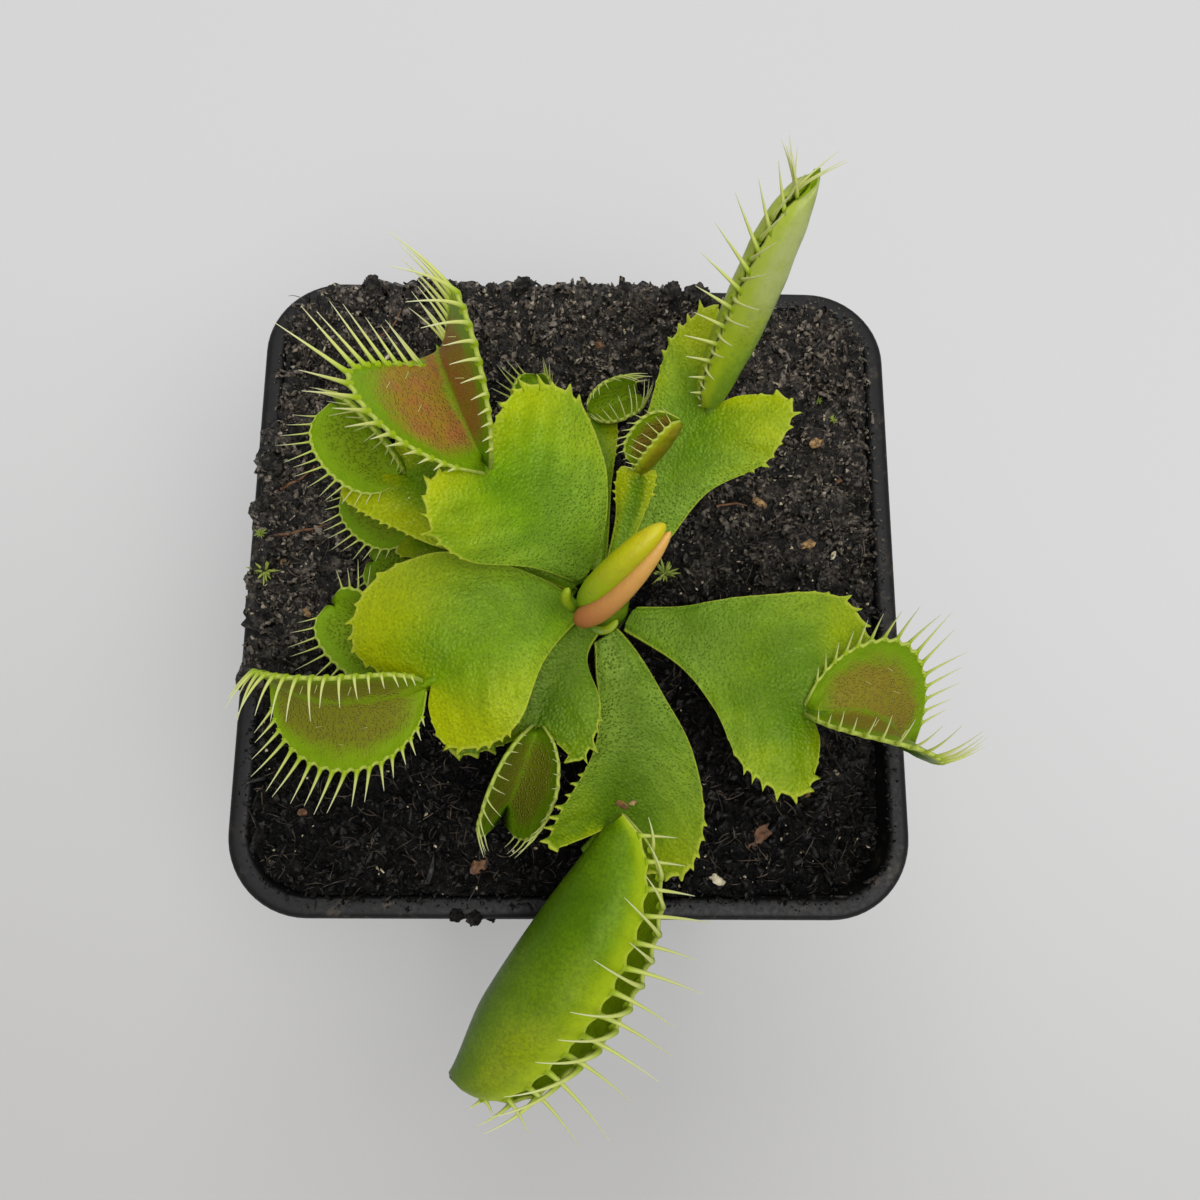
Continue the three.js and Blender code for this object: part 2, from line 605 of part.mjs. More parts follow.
// The pot's width and corner radius inside or outside the wall at a height, inset by so much.
function potSection(z, inset) {
  const t = z / POT.height;
  const wallTop = POT.topWidth - 2 * (POT.rimWidth - POT.wall);
  const step = z > POT.height - POT.collarDrop ? 0 : POT.collarStep;
  const width = POT.baseWidth + (wallTop - POT.baseWidth) * t - 2 * (step + inset);
  const corner = POT.baseCorner + (POT.topCorner - 1 - POT.baseCorner) * t - inset;
  return [width, corner];
}

function potSolid() {
  const ring = (z, inset) => roundedSquare(potSection(z, inset), z, POT.cornerSteps);
  const rim = (z, inset) => roundedSquare([POT.topWidth - 2 * inset, POT.topCorner - inset], z, POT.cornerSteps);
  const collar = POT.height - POT.collarDrop;
  const top = POT.height;
  const body = solidOf(
    loft([
      ring(0, 0.6),
      ring(0.6, 0),
      ring(collar - 0.8, 0),
      ring(collar + 0.8, 0),
      ring(top - POT.rimDrop, 0),
      rim(top - POT.rimDrop, 0.3),
      rim(top - POT.rimDrop + 0.4, 0),
      rim(top - 0.7, 0),
      rim(top - 0.2, 0.25),
      rim(top, 0.75),
      ring(top, POT.wall - 0.35),
      ring(top - 0.5, POT.wall),
      ring(collar + 0.8, POT.wall),
      ring(collar - 0.8, POT.wall),
      ring(POT.floor, POT.wall),
    ]),
  );
  const hole = (x, y, radius) => wasm.Manifold.cylinder(POT.floor + 2, radius, radius, 16).translate([x, y, -1]);
  const corner = POT.baseWidth / 2 - DRAIN.cornerInset;
  const side = POT.baseWidth / 2 - DRAIN.sideInset;
  const holes = [];
  for (const sign of [1, -1]) {
    holes.push(hole(sign * corner, corner, DRAIN.cornerRadius), hole(sign * corner, -corner, DRAIN.cornerRadius));
    holes.push(hole(sign * side, 0, DRAIN.sideRadius), hole(0, sign * side, DRAIN.sideRadius));
  }
  return body.subtract(wasm.Manifold.union(holes));
}

// ---- rhizome, roots and soil --------------------------------------------------------------------

// The rhizome with its roots, made fatter all round by so much.
function rhizomeSolid(margin) {
  const { x, y, radius, topH, flareDepth, bulbRadius, bulbDepth, endDepth } = CROWN;
  const at = (h, r) =>
    Array.from({ length: 12 }, (_, k) => {
      const angle = (2 * Math.PI * k) / 12;
      return rimPoint([x + (r + margin) * Math.cos(angle), y + (r + margin) * Math.sin(angle), h]);
    });
  const bulb = solidOf(
    loft([
      at(-endDepth - margin, 1.2),
      at(-endDepth + 2.5, bulbRadius * 0.85),
      at(-bulbDepth, bulbRadius),
      at(-flareDepth, bulbRadius * 0.8),
      at(0, radius),
      at(topH - 1.2, radius),
      at(topH - 0.4 + margin, radius * 0.72),
      at(topH + margin, radius * 0.3),
    ]),
  );
  const roots = Array.from({ length: ROOT.count }, (_, i) => {
    const angle = 0.5 + (2 * Math.PI * i) / ROOT.count;
    const out = (d) => [x + d * Math.cos(angle + d * 0.03), y + d * Math.sin(angle + d * 0.03)];
    const end = -endDepth - ROOT.length + i * 3 - margin;
    const curve = new THREE.CatmullRomCurve3(
      [[...out(1.6), -endDepth + 4], [...out(ROOT.spread * 0.6), -endDepth - 6], [...out(ROOT.spread), end]].map(rimPoint),
    );
    const radiusAt = (share) => ROOT.radius + (ROOT.tipRadius - ROOT.radius) * share + margin;
    return solidOf(taperedTube(curve, radiusAt, 6, ROOT.sides));
  });
  return wasm.Manifold.union([bulb, ...roots]);
}

// The peat's height above the rim: heaped along the back and the left, sunk at the front right corner.
function soilHeight(x, y) {
  const { back, left, corner } = SOIL;
  const middle = (1 - 0.75 * smoothstep(6, 18, x)) * (1 - 0.6 * smoothstep(23, 31, -x));
  const backHeap = back * smoothstep(17, 31, y) * middle;
  const leftHeap = left * smoothstep(25, 32, -x) * smoothstep(-19, -8, y) * (1 - smoothstep(14, 24, y));
  const sink = corner * smoothstep(14, 32, x) * smoothstep(8, -26, y);
  const broad = Math.sin(x * 0.9 + 2) * Math.sin(y * 0.8);
  const small = 0.6 * Math.sin(x * 2.1 + y * 1.7 + 1) * Math.cos(y * 2.3 - x);
  return Math.max(backHeap, leftHeap) - sink - 0.5 + SOIL.noise * (broad + small);
}

// How far the heaped peat spills out over the rim.
function soilSpill(x, y) {
  return SOIL.spill * smoothstep(0.6, 2.2, soilHeight(x, y)) * (0.85 + 0.15 * Math.sin(1.3 * x + 1.1 * y));
}

function soilSolid() {
  const wallRing = (z) =>
    roundedSquare(potSection(z, POT.wall + GAP + 0.05), z, SOIL.cornerSteps, SOIL.sideSteps);
  const collar = POT.height - POT.collarDrop;
  const shoulder = wallRing(POT.height - 6.5);
  const spills = shoulder.map((p) => soilSpill(p.x, p.y)).map((spill) => (spill > 0.4 ? spill : 0));
  const rim = shoulder.map((p, i) => {
    const h = soilHeight(p.x, p.y);
    const over = [spills.at(i - 1), spills[i], spills[(i + 1) % spills.length]].some((spill) => spill > 0);
    return { h, over, spill: spills[i], wall: wallRing(POT.height + (over ? -0.4 : Math.min(h, -0.4)))[i] };
  });
  // The rim's ring of points at so much of the spill outwards, and a height from the peat's own.
  const rimRing = (share, heightOf) =>
    rim.map(({ h, over, spill, wall }) => {
      const grow = 1 + (share * spill) / Math.hypot(wall.x, wall.y);
      return rimPoint([wall.x * grow, wall.y * grow, heightOf(h, over)]);
    });
  const rings = [
    wallRing(POT.floor + GAP),
    wallRing(30),
    wallRing(collar - 0.8),
    wallRing(collar + 0.8),
    shoulder,
    rimRing(0, (h, over) => (over ? GAP + 0.15 : h - 0.8)),
    rimRing(1, (h, over) => (over ? GAP + 0.2 : h - 0.45)),
    rimRing(0.96, (h, over) => (over ? GAP + 0.25 + Math.max(0, h) * 0.45 : h - 0.2)),
  ];
  const edge = rimRing(0, (h) => h);
  for (const share of SOIL.rings) {
    rings.push(edge.map((p) => rimPoint([p.x * share, p.y * share, soilHeight(p.x * share, p.y * share)])));
  }
  return solidOf(loft(rings)).subtract(rhizomeSolid(GAP + 0.1));
}

// ---- the assembly -------------------------------------------------------------------------------

const plant = new THREE.Group();
plant.name = "potted_venus_flytrap";

function addNode(name, solid, colour, roughness) {
  const mesh = new THREE.Mesh(
    geometryFrom(solid),
    new THREE.MeshStandardMaterial({ color: colour, roughness, metalness: 0 }),
  );
  mesh.name = name;
  plant.add(mesh);
}

addNode("pot", potSolid(), COLOUR.pot, 0.45);
addNode("soil", soilSolid(), COLOUR.soil, 0.95);
addNode("rhizome_with_roots", rhizomeSolid(0), COLOUR.rhizome, 0.8);
for (const [name, leaf] of Object.entries(LEAVES)) addNode(name, leafSolid(leaf), COLOUR.leaf, 0.5);
addNode("leaf_young_rolled", youngLeafSolid(), COLOUR.young, 0.5);

export default plant;
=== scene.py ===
"""The potted flytrap as it is seen: leaves, traps, cilia, peat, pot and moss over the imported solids.
Lengths are in millimetres until a mesh is made, and heights written as h are above the pot's rim."""
import json
import math
import random

import bmesh
import bpy
import numpy as np
from mathutils import Matrix, Vector
from mathutils.bvhtree import BVHTree
from mathutils.kdtree import KDTree

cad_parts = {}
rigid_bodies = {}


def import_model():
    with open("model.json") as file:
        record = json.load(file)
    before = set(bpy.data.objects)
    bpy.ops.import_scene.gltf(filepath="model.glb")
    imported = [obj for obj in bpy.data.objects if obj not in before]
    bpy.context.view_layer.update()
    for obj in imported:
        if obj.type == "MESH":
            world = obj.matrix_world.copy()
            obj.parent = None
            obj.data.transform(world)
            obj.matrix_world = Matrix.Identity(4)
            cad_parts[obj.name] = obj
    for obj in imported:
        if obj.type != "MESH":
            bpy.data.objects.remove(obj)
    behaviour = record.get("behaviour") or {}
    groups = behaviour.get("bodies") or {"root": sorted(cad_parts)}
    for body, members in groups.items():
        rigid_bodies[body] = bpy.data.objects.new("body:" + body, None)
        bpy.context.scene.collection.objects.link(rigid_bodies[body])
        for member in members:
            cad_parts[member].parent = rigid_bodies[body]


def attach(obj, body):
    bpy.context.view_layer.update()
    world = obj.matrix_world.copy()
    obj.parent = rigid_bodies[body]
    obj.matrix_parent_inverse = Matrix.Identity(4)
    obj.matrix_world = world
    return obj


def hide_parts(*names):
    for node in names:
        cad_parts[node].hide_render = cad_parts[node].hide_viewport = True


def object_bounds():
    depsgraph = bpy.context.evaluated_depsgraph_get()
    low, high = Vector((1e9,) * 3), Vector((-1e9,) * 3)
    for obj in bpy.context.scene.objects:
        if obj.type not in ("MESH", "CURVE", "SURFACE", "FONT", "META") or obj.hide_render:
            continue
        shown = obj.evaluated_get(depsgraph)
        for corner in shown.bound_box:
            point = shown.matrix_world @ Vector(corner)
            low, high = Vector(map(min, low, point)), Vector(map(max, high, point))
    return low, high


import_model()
CAD_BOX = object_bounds()
MM = 0.001

# ---- sizes shared with the solids ---------------------------------------------------------------

GAP = 0.3  # between pieces that touch in life
HALF_FOOT = 0.45  # half of how thick a leaf is where it leaves the crown
POT = dict(height=65, top_width=70, base_width=50, wall=0.9, floor=1.4, top_corner=8.5, base_corner=6,
           rim_width=2.1, rim_drop=2.4, collar_drop=12, collar_step=0.8)
DRAIN = dict(corner_radius=3, corner_inset=10, side_radius=2.4, side_inset=7.5)
CROWN = dict(x=3, y=-3, radius=2.6)
SOIL = dict(back=3.4, left=2.6, corner=2.8, noise=0.75, spill=3.2)

# Each leaf: base [azimuth, h], mid and neck [x, y, h] on the midrib, outlines right and left of it as
# [share of its length, distance out], what its blade has other than USUAL_BLADE, its trap and its look.
# A trap: the hinge's far tip [x, y, h], the way its mouth looks, and for the right and the left lobe the
# depth and [angle at the hinge, at the margin] from that way; then bow, flare, cells along the margin and
# cilia [length, lean right, lean left, fan]. What else a trap gives takes the place of USUAL_TRAP's value,
# or of what its functions work out: how many spikes, how deep a notch between them, spike_width, the fans
# left and right and far_fan, and gold.
# The look: how flushed the trap is inside, how golden the blade is, how dark the whole leaf is (partly its
# own darker green, partly painted shade), how speckled its base, how much pale bloom lies on the trap, and
# how rusty the trap is outside.
USUAL_TRAP = dict(
    full=0.6,  # how bluntly the lobes end: 0 is square, 1 a half circle
    hook=0,  # how far the far end curls towards the mouth
    closer=1,  # how much further the lobes reach round to each other half way along
    growth=0.3,  # how much longer the cilia are at the far end
    short_end=0,  # how much shorter the last cilia are
    tuft=0,  # how many more cilia stand at the far end
    sweep=[0, 0],  # how far the left and the right lobe's cilia lean along the hinge
    lifts=[0, 0],  # how upright they leave the margin
)
USUAL_BLADE = dict(
    valley=0.08,  # how steeply it rises from the midrib
    arch=0.01,  # how much it bends down again
    roll=0,  # its turn about the midrib, in degrees
    droop=0.03,  # how much its end hangs past the neck
)
BIG_TRAP = 9  # the hinge length past which a trap is made with larger cusps, thicker cilia and hairs
BIG_BLADE = 7  # the half width past which a blade gets the larger teeth
LEAVES = dict(
    leaf_back_left=dict(
        base=[138, 7], mid=[-3.1, 2.6, 12.5], neck=[-8.7, 7.1, 18.1],
        right=[[0, 1.1], [0.2, 5.2], [0.55, 9.3], [0.9, 10.3], [1.13, 7], [1.1, 2.6]],
        left=[[0, 1.1], [0.3, 3.6], [0.65, 7.8], [0.95, 8.2], [1.16, 5], [1.08, 1.8]],
        valley=0.1, arch=0.012, roll=4, droop=0.02,
        trap=dict(tip=[-13.6, 19.5, 15.7], mouth=[-0.3, -0.2, 0.93], depth=[13.8, 12],
                  lobes=[[36, 28], [42, 13]], bow=-0.09, full=0.9, flare=[0.19, -0.23],
                  cells=9, cilia=[6.2, 60, -8, 0.6], growth=0.65, far_fan=2.8, tuft=2, spike_width=0.24),
        look=dict(flush=1.0, gold=0.55, shade=-0.12, speckle=0.75, bloom=0)),
    leaf_left=dict(
        base=[205, 6.6], mid=[-7.3, -7.4, 10.2], neck=[-13.8, -12.5, 9.1],
        right=[[0, 1.1], [0.3, 5.3], [0.6, 10.2], [0.92, 11.5], [1.2, 7.8], [1.1, 2.4]],
        left=[[0, 1.1], [0.33, 4.3], [0.7, 8.3], [1, 8.2], [1.2, 5], [1.12, 1.6]],
        valley=0.1, arch=0.014, roll=0, droop=0.02,
        trap=dict(tip=[-30.3, -11.7, 5.4], mouth=[0.07, -0.86, 0.51], depth=[9.2, 7.9],
                  lobes=[[73, 53], [67, 16]], bow=-0.12, full=0.7, flare=[0.01, 0],
                  cells=9, cilia=[4.1, 70, 4, 0.6], growth=0.5, spike_width=0.21),
        look=dict(flush=0.4, gold=0.9, shade=0.22, speckle=0.45, bloom=0)),
    leaf_front_left=dict(
        base=[243, 4.8], mid=[-1.3, -10.1, 6.7], neck=[-3.7, -16.2, 6.5],
        right=[[0, 1], [0.5, 3], [0.9, 5.8], [1.22, 8.2], [1.42, 7], [1.18, 1.8]],
        left=[[0, 1], [0.3, 1.9], [0.64, 5.2], [0.95, 5.7], [1.16, 5], [1.04, 1.6]],
        valley=0.18, arch=0.01, roll=0, droop=0.02,
        trap=dict(tip=[-6.5, -23.2, 1.2], mouth=[0.22, -0.23, 0.95], depth=[8.1, 6.7],
                  lobes=[[48, 12], [46, 3]], bow=-0.05, flare=[0.16, 0.3], cells=7, cilia=[2.6, 40, 40, 0.7]),
        look=dict(flush=0.3, gold=0.3, shade=0.6, speckle=0.4, bloom=0)),
    leaf_front=dict(
        base=[274, 2.8], mid=[5.8, -15.5, 3.4], neck=[2.8, -26.4, 10.2],
        right=[[0, 1.3], [0.15, 2.6], [0.6, 3.4], [1.05, 4.3], [1.2, 3.7], [1.1, 1.6]],
        left=[[0, 1.3], [0.3, 3.4], [0.52, 6.3], [0.78, 8.7], [1, 8.4], [1.08, 4.4]],
        valley=0.08, arch=0.012, roll=0, droop=0.01,
        trap=dict(tip=[-11.7, -47.8, 3], mouth=[0.87, -0.35, 0.34], depth=[12.3, 13.1],
                  lobes=[[69, -58], [57, -38]], bow=0.025, full=0.9, flare=[0.12, 0.02],
                  cells=9, cilia=[8, -60, 74, 0.5], spikes=14, sweep=[0.2, -0.25], fans=[1.15, 0.5],
                  hook=1.0, growth=0.15, short_end=0.6, closer=1.045, gold=0.62),
        look=dict(flush=0.1, gold=0.42, shade=0.55, speckle=1.0, bloom=0.05)),
    leaf_right=dict(
        base=[330, 3.2], mid=[15.9, -10.5, 8], neck=[23.2, -15.2, 8.8],
        right=[[0, 1.3], [0.37, 2.5], [0.6, 4.6], [0.87, 8], [1.16, 7], [1.1, 1.8]],
        left=[[0, 1.3], [0.22, 3.4], [0.5, 7.6], [0.85, 11.8], [1.06, 8.6], [1.04, 2.6]],
        valley=0.1, arch=0.014, roll=0, droop=0.02,
        trap=dict(tip=[32.7, -17.7, 5.2], mouth=[0.25, 0.62, 0.74], depth=[9.9, 8.7],
                  lobes=[[67, 57], [48, 9]], bow=-0.19, full=0.82, flare=[0.21, 0.17],
                  cells=8, cilia=[4.8, 50, 8, 0.6], spike_width=0.17),
        look=dict(flush=0.62, gold=0.5, shade=0.38, speckle=0.7, bloom=0)),
    leaf_back_right=dict(
        base=[58, 2.6], mid=[9.4, 9.5, 7], neck=[13.7, 16.2, 10.1],
        right=[[0, 1.3], [0.3, 3], [0.6, 4.3], [0.95, 7.9], [1.26, 6.2], [1.14, 1.8]],
        left=[[0, 1.3], [0.4, 3.1], [0.85, 5.4], [1.17, 7.5], [1.43, 6], [1.16, 1.6]],
        valley=0.1, arch=0.012, roll=0, droop=0.01,
        trap=dict(tip=[20, 28.4, 33], mouth=[-0.78, -0.52, 0.36], depth=[5.6, 5.5],
                  lobes=[[76, -50], [86, -51]], bow=0.04, full=0.72, flare=[0.01, -0.08],
                  cells=7, cilia=[4.4, -16, -14, 0.4], spikes=12, closer=1.195, notch=0.16, growth=0.75,
                  far_fan=1.9, tuft=4, fans=[0.5, 0.7], sweep=[0.55, 0.1], lifts=[1.1, 0],
                  spike_width=0.25, gold=0.85),
        look=dict(flush=0.05, gold=0.55, shade=0.17, speckle=0.9, bloom=0.75)),
    leaf_far_left=dict(
        base=[152, 5], mid=[-9.6, 4.6, 8], neck=[-17.4, 8.6, 9.1],
        right=[[0, 0.9], [0.5, 2.6], [0.85, 4.4], [1.12, 4], [1.08, 1.4]],
        left=[[0, 0.9], [0.4, 3], [0.75, 5.2], [1.25, 4.2], [1.14, 1.4]],
        trap=dict(tip=[-24, 15.6, 9.9], mouth=[-0.35, -0.5, 0.8], depth=[6, 6],
                  lobes=[[60, 10], [62, 26]], bow=0.03, flare=[0.1, 0.1], cells=7, cilia=[3.6, 8, 8, 0.5]),
        look=dict(flush=0.12, gold=0.75, shade=0.25, speckle=0.2, bloom=0)),
    leaf_low_left_rear=dict(
        base=[170, 3.6], mid=[-8.6, 1.8, 5], neck=[-16.8, 4.4, 3.6],
        right=[[0, 0.8], [0.5, 1.4], [0.9, 2.8], [1.08, 2.6], [1.06, 1]],
        left=[[0, 0.8], [0.5, 1.4], [0.9, 2.8], [1.08, 2.6], [1.06, 1]],
        trap=dict(tip=[-23.2, 9.6, 3], mouth=[-0.35, -0.35, 0.9], depth=[4.2, 4.6],
                  lobes=[[84, 64], [82, 54]], bow=0, flare=[0.08, 0.1], cells=6, cilia=[2.4, 6, 6, 0.5]),
        look=dict(flush=0.15, gold=0.3, shade=0.45, speckle=0.2, bloom=0)),
    leaf_low_left_middle=dict(
        base=[191, 1.8], mid=[-6, -2.8, 1.9], neck=[-13.8, -0.4, 0.9],
        right=[[0, 0.8], [0.5, 1.4], [0.9, 2.6], [1.08, 2.4], [1.06, 1]],
        left=[[0, 0.8], [0.5, 1.4], [0.9, 2.6], [1.08, 2.4], [1.06, 1]],
        trap=dict(tip=[-21.4, 1.8, 0.7], mouth=[-0.05, -0.15, 0.97], depth=[3.8, 4.2],
                  lobes=[[88, 78], [80, 52]], bow=0, flare=[0.08, 0.1], cells=6, cilia=[2.2, 6, 6, 0.5]),
        look=dict(flush=0.1, gold=0.2, shade=0.5, speckle=0.2, bloom=0)),
    leaf_low_left_front=dict(
        base=[221, 2.8], mid=[-9, -8, 3.2], neck=[-17.4, -10, 2.8],
        right=[[0, 0.8], [0.5, 1.5], [0.9, 2.8], [1.08, 2.6], [1.06, 1]],
        left=[[0, 0.8], [0.5, 1.5], [0.9, 2.8], [1.08, 2.6], [1.06, 1]],
        trap=dict(tip=[-24.7, -3.7, 2.8], mouth=[-0.4, -0.25, 0.85], depth=[4.4, 4.8],
                  lobes=[[84, 62], [70, 40]], bow=0.03, flare=[0.08, 0.1], cells=6, cilia=[3.4, 4, 4, 0.5]),
        look=dict(flush=0.1, gold=0.45, shade=0.25, speckle=0.2, bloom=0)),
    leaf_rear=dict(
        base=[106, 4.3], mid=[2.1, 8, 5], neck=[0.8, 17.4, 4.3],
        right=[[0, 0.8], [0.5, 1.6], [0.9, 3.2], [1.1, 2.8], [1.06, 1]],
        left=[[0, 0.8], [0.5, 1.4], [0.9, 2.6], [1.08, 2.4], [1.06, 1]],
        trap=dict(tip=[6.1, 20.3, 3.6], mouth=[0.1, -0.2, 0.95], depth=[4.2, 4],
                  lobes=[[60, 10], [58, 6]], bow=0, flare=[0.06, 0.08], cells=6, cilia=[3.2, 62, 34, 0.7]),
        look=dict(flush=0.12, gold=0.5, shade=0.45, speckle=0.2, bloom=0)),
    leaf_rear_left=dict(
        base=[134, 1.9], mid=[-3.2, 7.4, 3.2], neck=[-4.2, 14.6, 3.6],
        right=[[0, 0.8], [0.5, 1.3], [0.9, 2.2], [1.08, 2], [1.06, 1]],
        left=[[0, 0.8], [0.5, 1.4], [0.9, 2.6], [1.08, 2.4], [1.06, 1]],
        trap=dict(tip=[-4.4, 21.2, 5], mouth=[-0.05, 0.2, 0.95], depth=[3.8, 4],
                  lobes=[[56, 4], [62, 22]], bow=0.03, flare=[0.06, 0.08], cells=6, cilia=[3.8, 0, 0, 0.4]),
        look=dict(flush=0.1, gold=0.2, shade=0.4, speckle=0.2, bloom=0)),
    leaf_small_rear=dict(
        base=[74, 5.5], mid=[5.4, 4.6, 7.6], neck=[6.4, 9, 10],
        right=[[0, 0.8], [0.5, 1.1], [0.9, 1.6], [1.05, 1.4], [1.04, 0.8]],
        left=[[0, 0.8], [0.5, 1.4], [0.85, 2.2], [1.02, 2], [1.02, 0.8]],
        trap=dict(tip=[10, 12.6, 14.6], mouth=[-0.7, -0.1, 0.7], depth=[4.2, 4.2],
                  lobes=[[66, -30], [66, -8]], bow=0.05, flare=[0.04, 0.06],
                  cells=5, cilia=[1.7, 10, 10, 0.5], spike_width=0.1),
        look=dict(flush=0.7, gold=0.9, shade=0.3, speckle=0.4, bloom=0, rust=0.75)),
)
STAND = 0.7  # how far the trap's hinge starts past the neck
END_ANGLE = 0.22  # where the run of the cilia starts and ends on the margin's turn of pi

YOUNG = dict(
    upper=[[0.6, -5.4, 12.6], [3.5, -3, 17.2], [7.9, 0.5, 20.3]],
    lower=[[-0.1, -6.9, 12.4], [3.9, -4.9, 15.8], [8.4, -0.1, 19.9]],
    stalk=[[3, -3.2, 8.8], [2, -4.6, 11], [1.4, -6, 13.6]],
    curl=[[0.5, -5.8, 11.8], [-0.9, -5.2, 13], [-0.7, -4.2, 14.6]],
    wing=[[1.4, -7.2, 11.6], [2.8, -7.6, 11.6], [4, -6.7, 12.2]],
    radius=1.45)


# ---- small helpers ------------------------------------------------------------------------------

def rim_point(x, y, h):
    return np.array([x, y, POT["height"] + h], float)


def smoothstep(low, high, x):
    t = np.clip((np.asarray(x, float) - low) / (high - low), 0, 1)
    return t * t * (3 - 2 * t)


def unit(v):
    return v / np.linalg.norm(v, axis=-1, keepdims=True)


def lattice_noise(x, y, cell, seed, octaves=4, gain=0.5):
    """Smooth noise about -1 to 1, with that cell size for its broadest waves."""
    x, y = np.broadcast_arrays(x, y)
    total, reach = np.zeros(x.shape), 0
    for octave in range(octaves):
        table = np.random.default_rng(seed + 101 * octave).random((64, 64)) * 2 - 1
        u, v = x / cell + 7.3 * octave, y / cell + 3.1 * octave
        i, j = np.floor(u).astype(int), np.floor(v).astype(int)
        f, g = u - i, v - j
        f, g = f * f * (3 - 2 * f), g * g * (3 - 2 * g)
        i0, i1, j0, j1 = i % 64, (i + 1) % 64, j % 64, (j + 1) % 64
        low = table[i0, j0] * (1 - f) + table[i1, j0] * f
        high = table[i0, j1] * (1 - f) + table[i1, j1] * f
        total += gain**octave * (low * (1 - g) + high * g)
        reach += gain**octave
        cell /= 2.03
    return total / reach


def srgb(r, g, b):
    """A linear colour from one read off a screen, 0 to 255."""
    return [((c / 255 + 0.055) / 1.055) ** 2.4 if c > 10 else c / 255 / 12.92 for c in (r, g, b)] + [1]


def placed(name, data):
    """An object in the scene for a mesh, a light or a camera."""
    piece = bpy.data.objects.new(name, data)
    bpy.context.scene.collection.objects.link(piece)
    return piece


def set_values(mesh, values):
    """Gives each point of the mesh its named values."""
    for key, data in values.items():
        mesh.attributes.new(key, "FLOAT", "POINT").data.foreach_set("value", np.asarray(data, np.float32))


def mesh_object(name, points, faces, materials, face_materials=None, values=None, smooth=True):
    """A mesh piece from points in millimetres, its seams merged and its faces turned outwards."""
    mesh = bpy.data.meshes.new(name)
    mesh.from_pydata((np.asarray(points) * MM).tolist(), [], faces)
    for material in materials:
        mesh.materials.append(material)
    if face_materials is not None:
        mesh.polygons.foreach_set("material_index", np.asarray(face_materials, np.int32))
    set_values(mesh, values or {})
    work = bmesh.new()
    work.from_mesh(mesh)
    bmesh.ops.remove_doubles(work, verts=work.verts, dist=1e-6)
    bmesh.ops.dissolve_degenerate(work, edges=work.edges, dist=1e-7)
    bmesh.ops.recalc_face_normals(work, faces=work.faces)
    for face in work.faces:
        face.smooth = smooth
    work.to_mesh(mesh)
    work.free()
    return placed(name, mesh)


def run_length(points):
    """How far along the line each of its points lies."""
    return np.concatenate([[0], np.cumsum(np.linalg.norm(np.diff(points, axis=0), axis=1))])


def arc(a, b, c, t):
    """Points on a quadratic curve that leaves a towards b and ends at c."""
    return (1 - t) ** 2 * a + 2 * t * (1 - t) * b + t**2 * c


def bend_for(a, middle, c):
    """Where such a curve from a to c has to aim, to pass that middle point."""
    return 2 * middle - 0.5 * a - 0.5 * c


def both_sides(left, right):
    """A grid over both halves: the left one turned round, then the right one without the shared column."""
    return np.concatenate([left[:, :0:-1], right], 1)


def everywhere(values, shape):
    """The same values at every point of a grid or a line."""
    return {key: np.full(shape, value) for key, value in values.items()}


def loft_faces(rings, around):
    """Faces between rings of points, and one over each end."""
    index = np.arange(rings * around).reshape(rings, around)
    beside = np.roll(index, -1, 1)
    faces = np.stack([index[:-1], beside[:-1], beside[1:], index[1:]], -1).reshape(-1, 4).tolist()
    return faces + [index[0].tolist(), index[-1].tolist()]


def joined(name, parts):
    """The parts as one piece of that name."""
    with bpy.context.temp_override(active_object=parts[0], selected_editable_objects=parts, object=parts[0]):
        bpy.ops.object.join()
    parts[0].name = name
    parts[0].data.name = name
    return parts[0]


def fill_inputs(tree, node, inputs):
    """Links each named input of the node to a socket, or sets it to a value."""
    for key, value in inputs.items():
        if isinstance(value, bpy.types.NodeSocket):
            tree.links.new(value, node.inputs[key])
        else:
            node.inputs[key].default_value = value


def add_node(tree, kind, inputs=None, **settings):
    """A node with its settings, and its inputs filled."""
    node = tree.nodes.new(kind)
    for key, value in settings.items():
        setattr(node, key, value)
    fill_inputs(tree, node, inputs or {})
    return node


def keep(piece, node):
    """Counts the piece as the object's own, in place of that node of the solids."""
    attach(piece, "root")
    if node:
        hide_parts(node)
    return piece


# ---- materials ----------------------------------------------------------------------------------

